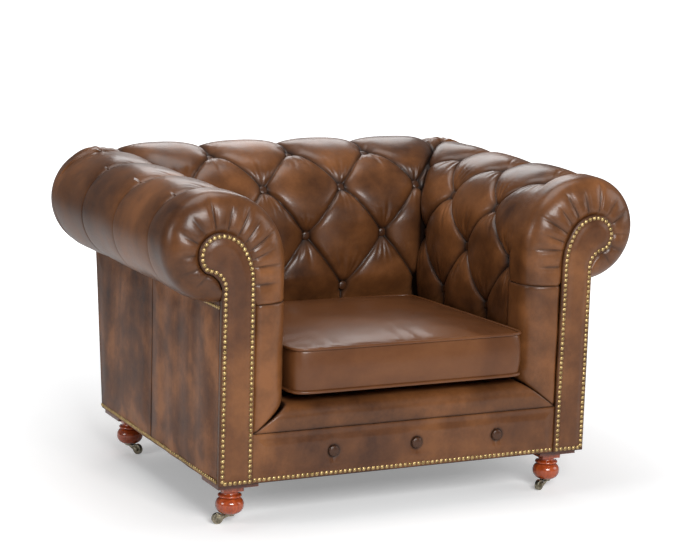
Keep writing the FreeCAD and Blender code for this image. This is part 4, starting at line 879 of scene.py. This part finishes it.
class Wire:
    """An output of a shader node. Sums, differences, products and quotients add Math nodes."""

    def __init__(self, nodes, socket):
        self.nodes = nodes
        self.socket = socket

    def math(self, operation, other):
        return self.nodes.node("ShaderNodeMath", {0: self, 1: other}, operation=operation)

    def __add__(self, other):
        return self.math("ADD", other)

    def __sub__(self, other):
        return self.math("SUBTRACT", other)

    def __mul__(self, other):
        return self.math("MULTIPLY", other)

    def __truediv__(self, other):
        return self.math("DIVIDE", other)

    __radd__ = __add__
    __rmul__ = __mul__

    def clamp(self):
        return self.nodes.node("ShaderNodeClamp", {"Value": self})


class Nodes:
    """The shader nodes of a material or a world."""

    def __init__(self, owner):
        owner.use_nodes = True
        self.tree = owner.node_tree
        self.tree.nodes.clear()

    def feed(self, socket, value):
        """Link a wire to an input, or set the input to a constant."""
        if isinstance(value, Wire):
            self.tree.links.new(value.socket, socket)
        else:
            socket.default_value = value

    def node(self, kind, inputs=None, output=0, **settings):
        """A node of this kind, with its settings and then its inputs, as the wire of one output."""
        made = self.tree.nodes.new(kind)
        for key, value in settings.items():
            setattr(made, key, value)
        for key, value in (inputs or {}).items():
            self.feed(made.inputs[key], value)
        return Wire(self, made.outputs[output])


class Finish(Nodes):
    """One material: a Principled shader and the nodes that feed it."""

    def __init__(self, name, **constants):
        self.material = bpy.data.materials.new(name)
        super().__init__(self.material)
        self.output = self.tree.nodes.new("ShaderNodeOutputMaterial")
        self.shader = self.tree.nodes.new("ShaderNodeBsdfPrincipled")
        self.tree.links.new(self.shader.outputs["BSDF"], self.output.inputs["Surface"])
        for key, value in constants.items():
            self.shader.inputs[key.replace("_", " ")].default_value = value
        self.place = self.node("ShaderNodeTexCoord", output="Object")

    def noise(self, scale, detail=3.0, roughness=0.5, place=None, distortion=0.0):
        """Fractal noise with this many cells per metre."""
        return self.node("ShaderNodeTexNoise", {
            "Vector": place or self.place, "Scale": scale, "Detail": detail, "Roughness": roughness,
            "Distortion": distortion})

    def stretched(self, x, y, z):
        """Object coordinates scaled along each axis."""
        return self.node("ShaderNodeMapping", {"Vector": self.place, "Scale": (x, y, z)})

    def colours(self, value, *stops):
        """A colour ramp through stops, each a place and a colour from 0 to 255."""
        wire = self.node("ShaderNodeValToRGB", {"Fac": value}, "Color")
        ends = wire.socket.node.color_ramp.elements
        ends.remove(ends[-1])
        for number, (position, colour) in enumerate(stops):
            stop = ends.new(position) if number else ends[0]
            stop.position = position
            stop.color = rgba(colour)
        return wire

    def bump(self, height, strength, distance, **normal):
        """A bumped normal, on top of another one where that is given."""
        return self.node("ShaderNodeBump", {"Height": height, "Strength": strength, "Distance": distance,
                                            **normal})

    def wear(self, base, roughness, normal):
        """Feed the shader and give back the material."""
        for key, value in (("Base Color", base), ("Roughness", roughness), ("Normal", normal)):
            self.feed(self.shader.inputs[key], value)
        return self.material


def rgba(colour):
    """Opaque linear colour of an sRGB one given from 0 to 255."""
    return (*(((c / 255 + 0.055) / 1.055) ** 2.4 if c > 10 else c / 3294.6 for c in colour), 1)


# painted shade: the near-black brown that the leather is darkened towards in creases, pits and seams
PAINTED_CREASE_SHADE = (20, 10, 6)


def leather(name, dark, middle, light, streaks=0.0, dull=0.0, spread=0.2, shine=0.32):
    """Hand-rubbed leather: cloudy patches and upright streaks of three browns, with painted shade that
    darkens them in creases, and pebbled grain. spread is the noise that lies between the browns: a small one
    sets them off more."""
    finish = Finish(name, Coat_Weight=0.375 * shine, Coat_Roughness=0.15, Specular_IOR_Level=shine)
    broad = finish.noise(4.2, 3, 0.55, distortion=0.6)
    patch = finish.noise(17, 4, 0.6)
    fine = finish.noise(120, 3, 0.6)
    brushed = finish.noise(1.0, 4, 0.6, finish.stretched(11, 11, 1.1), 0.6)
    tone = (broad * 0.62 + patch * 0.30 + fine * 0.08) * (1 - streaks) + brushed * streaks
    base = finish.colours(tone, (0.5 - spread, dark), (0.5, middle), (0.5 + spread, light))
    # painted shade: the mesh's crease shade attribute mixes the brown towards the painted crease colour
    crease = finish.node("ShaderNodeAttribute", output="Fac", attribute_name="crease_shade")
    base = finish.node("ShaderNodeMix", {0: (crease * 0.9).clamp(), 6: base, 7: rgba(PAINTED_CREASE_SHADE)}, 2,
                       data_type="RGBA")
    grain = finish.node("ShaderNodeTexVoronoi", {"Vector": finish.place, "Scale": 620, "Smoothness": 0.6},
                        "Distance", feature="SMOOTH_F1")
    pores = finish.noise(1500, 2)
    grained = finish.bump(grain * 0.55 + pores * 0.2, 0.16, 0.0006)
    normal = finish.bump(finish.noise(240, 5, 0.65, distortion=0.4), 0.20, 0.0014, Normal=grained)
    return finish.wear(base, 0.25 + dull + patch * 0.16 + crease * 0.2, normal)


def wood(name, dark, light, gloss, coat=0.0):
    """Wood grain: a noise drawn out along the upright, broken up by a finer one."""
    finish = Finish(name, Coat_Weight=coat, Coat_Roughness=0.08)
    along = finish.stretched(1, 1, 0.12)
    figure = finish.noise(55, 5, 0.6, along, 1.2)
    pores = finish.noise(420, 3, 0.6, along)
    base = finish.colours(figure * 0.8 + pores * 0.2, (0.3, dark), (0.7, light))
    return finish.wear(base, gloss + figure * 0.1, finish.bump(pores, 0.12, 0.0004))


def metal(name, colour, worn, roughness):
    """Metal dulled by handling: two tones in small clouds."""
    finish = Finish(name, Metallic=1.0)
    clouds = finish.noise(160, 4, 0.6)
    base = finish.colours(clouds, (0.35, worn), (0.62, colour))
    return finish.wear(base, roughness + clouds * 0.18, finish.bump(finish.noise(900, 2), 0.1, 0.0002))


def woven(name, dark, light, pitch):
    """Plain woven cloth: two crossed waves, with uneven threads."""
    finish = Finish(name)
    across, along = (finish.node("ShaderNodeTexWave", {"Vector": finish.place, "Scale": 0.5 / pitch,
                                                       "Distortion": 0.6}, bands_direction=axis)
                     for axis in ("X", "Y"))
    weave = across * along
    base = finish.colours(weave * 0.6 + finish.noise(60) * 0.4, (0.25, dark), (0.7, light))
    return finish.wear(base, 0.9 + weave * 0.05, finish.bump(weave, 0.4, 0.0006))


body_leather = leather("body_leather", (60, 34, 18), (97, 59, 31), (130, 82, 46), spread=0.15)
side_leather = leather("side_leather", (60, 33, 18), (104, 64, 37), (150, 98, 60), 0.2, 0.06, 0.1, 0.13)
panel_leather = leather("panel_leather", (66, 37, 19), (96, 58, 31), (126, 80, 44), spread=0.15)
cushion_leather = leather("cushion_leather", (82, 48, 25), (97, 58, 31), (112, 70, 39))
button_leather = leather("button_leather", (50, 28, 15), (68, 40, 22), (84, 52, 30))
mahogany = wood("mahogany", (124, 44, 16), (190, 86, 38), 0.16, 0.8)
plate_wood = wood("plate_wood", (78, 38, 24), (112, 60, 40), 0.3, 0.3)
frame_wood = wood("frame_wood", (150, 112, 70), (196, 158, 108), 0.55)
board_wood = wood("board_wood", (170, 132, 88), (206, 172, 122), 0.6)
antique_brass = metal("antique_brass", (206, 178, 124), (136, 112, 72), 0.27)
caster_brass = metal("caster_brass", (186, 178, 156), (104, 96, 80), 0.26)
steel = metal("steel", (190, 190, 192), (150, 150, 154), 0.3)
jute = woven("jute", (120, 92, 56), (186, 152, 104), 0.0035)
hessian = woven("hessian", (128, 102, 66), (190, 162, 116), 0.0022)
dust_cloth = woven("dust_cloth", (10, 10, 11), (30, 30, 32), 0.0012)


# The pieces


LEATHER = "cover_leather"
FIRM, PLUMP, LOOSE = 0.7, 0.8, 0.6


def dress(piece, material, body, slot, *nodes, fill=None):
    """Give a piece its material and the body it rides on, and hide the nodes it stands for. slot is not used.
    fill is not used."""
    piece.data.materials.append(material)
    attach(piece, body)
    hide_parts(*nodes)


def both_sides(right, what, material, nodes, fill=None):
    """Dress a right-hand piece and its mirror image. nodes are named without their side."""
    for piece, side in ((right, "right_"), (mirror_piece(right, "left_" + what), "left_")):
        dress(piece, material, "chair", LEATHER, *(side + node for node in nodes), fill=fill)


both_sides(arm_cover("right_arm_leather"), "arm_leather", body_leather, ("arm_cover", "arm_foam"), FIRM)
both_sides(corner_cover("right_corner_leather"), "corner_leather", body_leather, ("corner_cover",), FIRM)
dress(back_cover("back_leather"), body_leather, "chair", LEATHER, "back_cover", "back_foam", fill=FIRM)
both_sides(strip_cover("right_arm_strip"), "arm_strip", body_leather, ("arm_border",), FIRM)
both_sides(facing_cover("right_facing_leather"), "facing_leather", panel_leather, ("scroll_facing",))
dress(lip_cover("lip_leather"), body_leather, "chair", LEATHER, "front_lip", "border_foam", fill=FIRM)
dress(border_cover("border_leather"), panel_leather, "chair", LEATHER, "front_border")
both_sides(panel_cover("right_front_panel", SIDE_FRONT, SEAM_Y, 1), "front_panel", side_leather,
           ("outside_panels",))
both_sides(panel_cover("right_rear_panel", SEAM_Y, None, 2), "rear_panel", side_leather,
           ("outside_panels",))
dress(back_panel_cover("back_panel"), side_leather, "chair", LEATHER, "outside_back_panel")
dress(cushion_cover("cushion_leather"), cushion_leather, "cushion", "cushion_leather", "cushion_cover",
      "cushion_core", fill=PLUMP)
dress(deck_pad("deck_cloth"), dust_cloth, "chair", "foam", "seat_deck_pad", fill=LOOSE)
dress(cushion_piping("cushion_welt"), cushion_leather, "cushion", "piping_leather", "cushion_piping")
dress(arm_buttons("arm_tuft_buttons"), button_leather, "chair", LEATHER, "arm_buttons")
dress(back_buttons("back_tuft_buttons"), button_leather, "chair", LEATHER, "back_buttons")
dress(border_button_set("front_border_buttons"), button_leather, "chair", LEATHER, "border_buttons")

NODE_FINISH = {
    "scroll_nails": antique_brass, "panel_nails": antique_brass, "bun_feet": mahogany,
    "foot_plates": plate_wood, "caster_sockets": caster_brass, "seat_springs": steel,
    "spring_clips": steel, "foot_bolts": steel, "webbing_straps": jute, "seat_hessian": hessian,
    "dust_cover": dust_cloth, "left_scroll_board": board_wood, "right_scroll_board": board_wood,
}
for node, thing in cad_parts.items():
    finish = NODE_FINISH.get(node, caster_brass if node.startswith("caster_") else frame_wood)
    if not thing.hide_render:
        thing.data.materials.clear()
        thing.data.materials.append(finish)


# Floor, light and camera


FLOOR_HALF = 30.0
FLOOR_GREY = (0.86, 0.86, 0.86, 1)


def stage_floor():
    """A wide pale floor that shows the shadow. To the camera it glows a little, and more with the distance
    from the chair, so that it is white."""
    mesh = bpy.data.meshes.new("floor")
    corners = [(x * FLOOR_HALF, y * FLOOR_HALF, 0) for x, y in ((-1, -1), (1, -1), (1, 1), (-1, 1))]
    mesh.from_pydata(corners, [], [(0, 1, 2, 3)])
    floor = bpy.data.objects.new("floor", mesh)
    bpy.context.scene.collection.objects.link(floor)
    finish = Finish("floor", Specular_IOR_Level=0.0, Base_Color=FLOOR_GREY, Roughness=1.0)
    distance = finish.node("ShaderNodeVectorMath", {0: finish.place}, "Value", operation="LENGTH")
    strength = ((distance - 0.8) / 3.0).clamp() + 0.28
    seen = finish.node("ShaderNodeLightPath", output="Is Camera Ray")
    glow = finish.node("ShaderNodeEmission", {"Strength": seen * strength})
    both = finish.node("ShaderNodeAddShader", {0: Wire(finish, finish.shader.outputs[0]), 1: glow})
    finish.feed(finish.output.inputs["Surface"], both)
    mesh.materials.append(finish.material)


def soft_light(name, place, width, height, power):
    """A rectangular soft box that looks at the chair."""
    lamp = bpy.data.lights.new(name, "AREA")
    lamp.shape = "RECTANGLE"
    lamp.size = width
    lamp.size_y = height
    lamp.energy = power
    box = bpy.data.objects.new(name, lamp)
    box.location = place
    box.rotation_euler = (Vector(LIT_POINT) - Vector(place)).to_track_quat("-Z", "Y").to_euler()
    bpy.context.scene.collection.objects.link(box)


LIT_POINT = (0, -0.1, 0.4)
WORLD_LIGHT = 0.17
WORLD_TINT = (0.95, 0.97, 1, 1)
# each soft box: its name, place, width, height and power in watts
SOFT_BOXES = (("key", (-0.6, -4.4, 2.5), 2.0, 1.4, 175), ("top", (-0.3, 0.3, 3.4), 2.6, 1.8, 52),
              ("side", (-4.2, -0.6, 1.9), 1.2, 1.2, 36), ("fill", (3.4, -1.6, 1.6), 1.8, 1.8, 26),
              ("rear", (1.5, 3.6, 2.6), 2.0, 1.4, 30))


def studio():
    """Soft boxes and a plain world: white to the camera, and dimmer as a light."""
    world = bpy.data.worlds.new("studio")
    bpy.context.scene.world = world
    nodes = Nodes(world)
    seen = nodes.node("ShaderNodeLightPath", output="Is Camera Ray")
    light = nodes.node("ShaderNodeBackground", {"Color": WORLD_TINT, "Strength": WORLD_LIGHT})
    shown = nodes.node("ShaderNodeBackground", {"Color": (1, 1, 1, 1)})
    choice = nodes.node("ShaderNodeMixShader", {0: seen, 1: light, 2: shown})
    nodes.feed(nodes.tree.nodes.new("ShaderNodeOutputWorld").inputs["Surface"], choice)
    for soft_box in SOFT_BOXES:
        soft_light(*soft_box)


CAMERA_PLACE = (-2.17384, -4.47162, 1.39026)
CAMERA_WAY = (0.43836, 0.87967, -0.18444)
CAMERA_ROLL = math.radians(1.801)
FOCAL_PIXELS = 2111.5
IMAGE_WIDTH = 700


def photo_camera():
    """The photograph's viewpoint, from its fitted place, direction, roll and focal length."""
    lens = bpy.data.cameras.new("camera")
    lens.sensor_width = 36.0
    lens.lens = FOCAL_PIXELS * lens.sensor_width / IMAGE_WIDTH
    lens.clip_end = 100
    ahead = Vector(CAMERA_WAY).normalized()
    right = ahead.cross(Vector((0, 0, 1))).normalized()
    up = right.cross(ahead)
    turned = right * math.cos(CAMERA_ROLL) + up * math.sin(CAMERA_ROLL)
    upward = up * math.cos(CAMERA_ROLL) - right * math.sin(CAMERA_ROLL)
    camera = bpy.data.objects.new("camera", lens)
    axes = Matrix((turned, upward, -ahead)).transposed()
    camera.matrix_world = Matrix.Translation(CAMERA_PLACE) @ axes.to_4x4()
    bpy.context.scene.collection.objects.link(camera)
    bpy.context.scene.camera = camera


stage_floor()
studio()
photo_camera()
bpy.context.scene.view_settings.view_transform = "Standard"
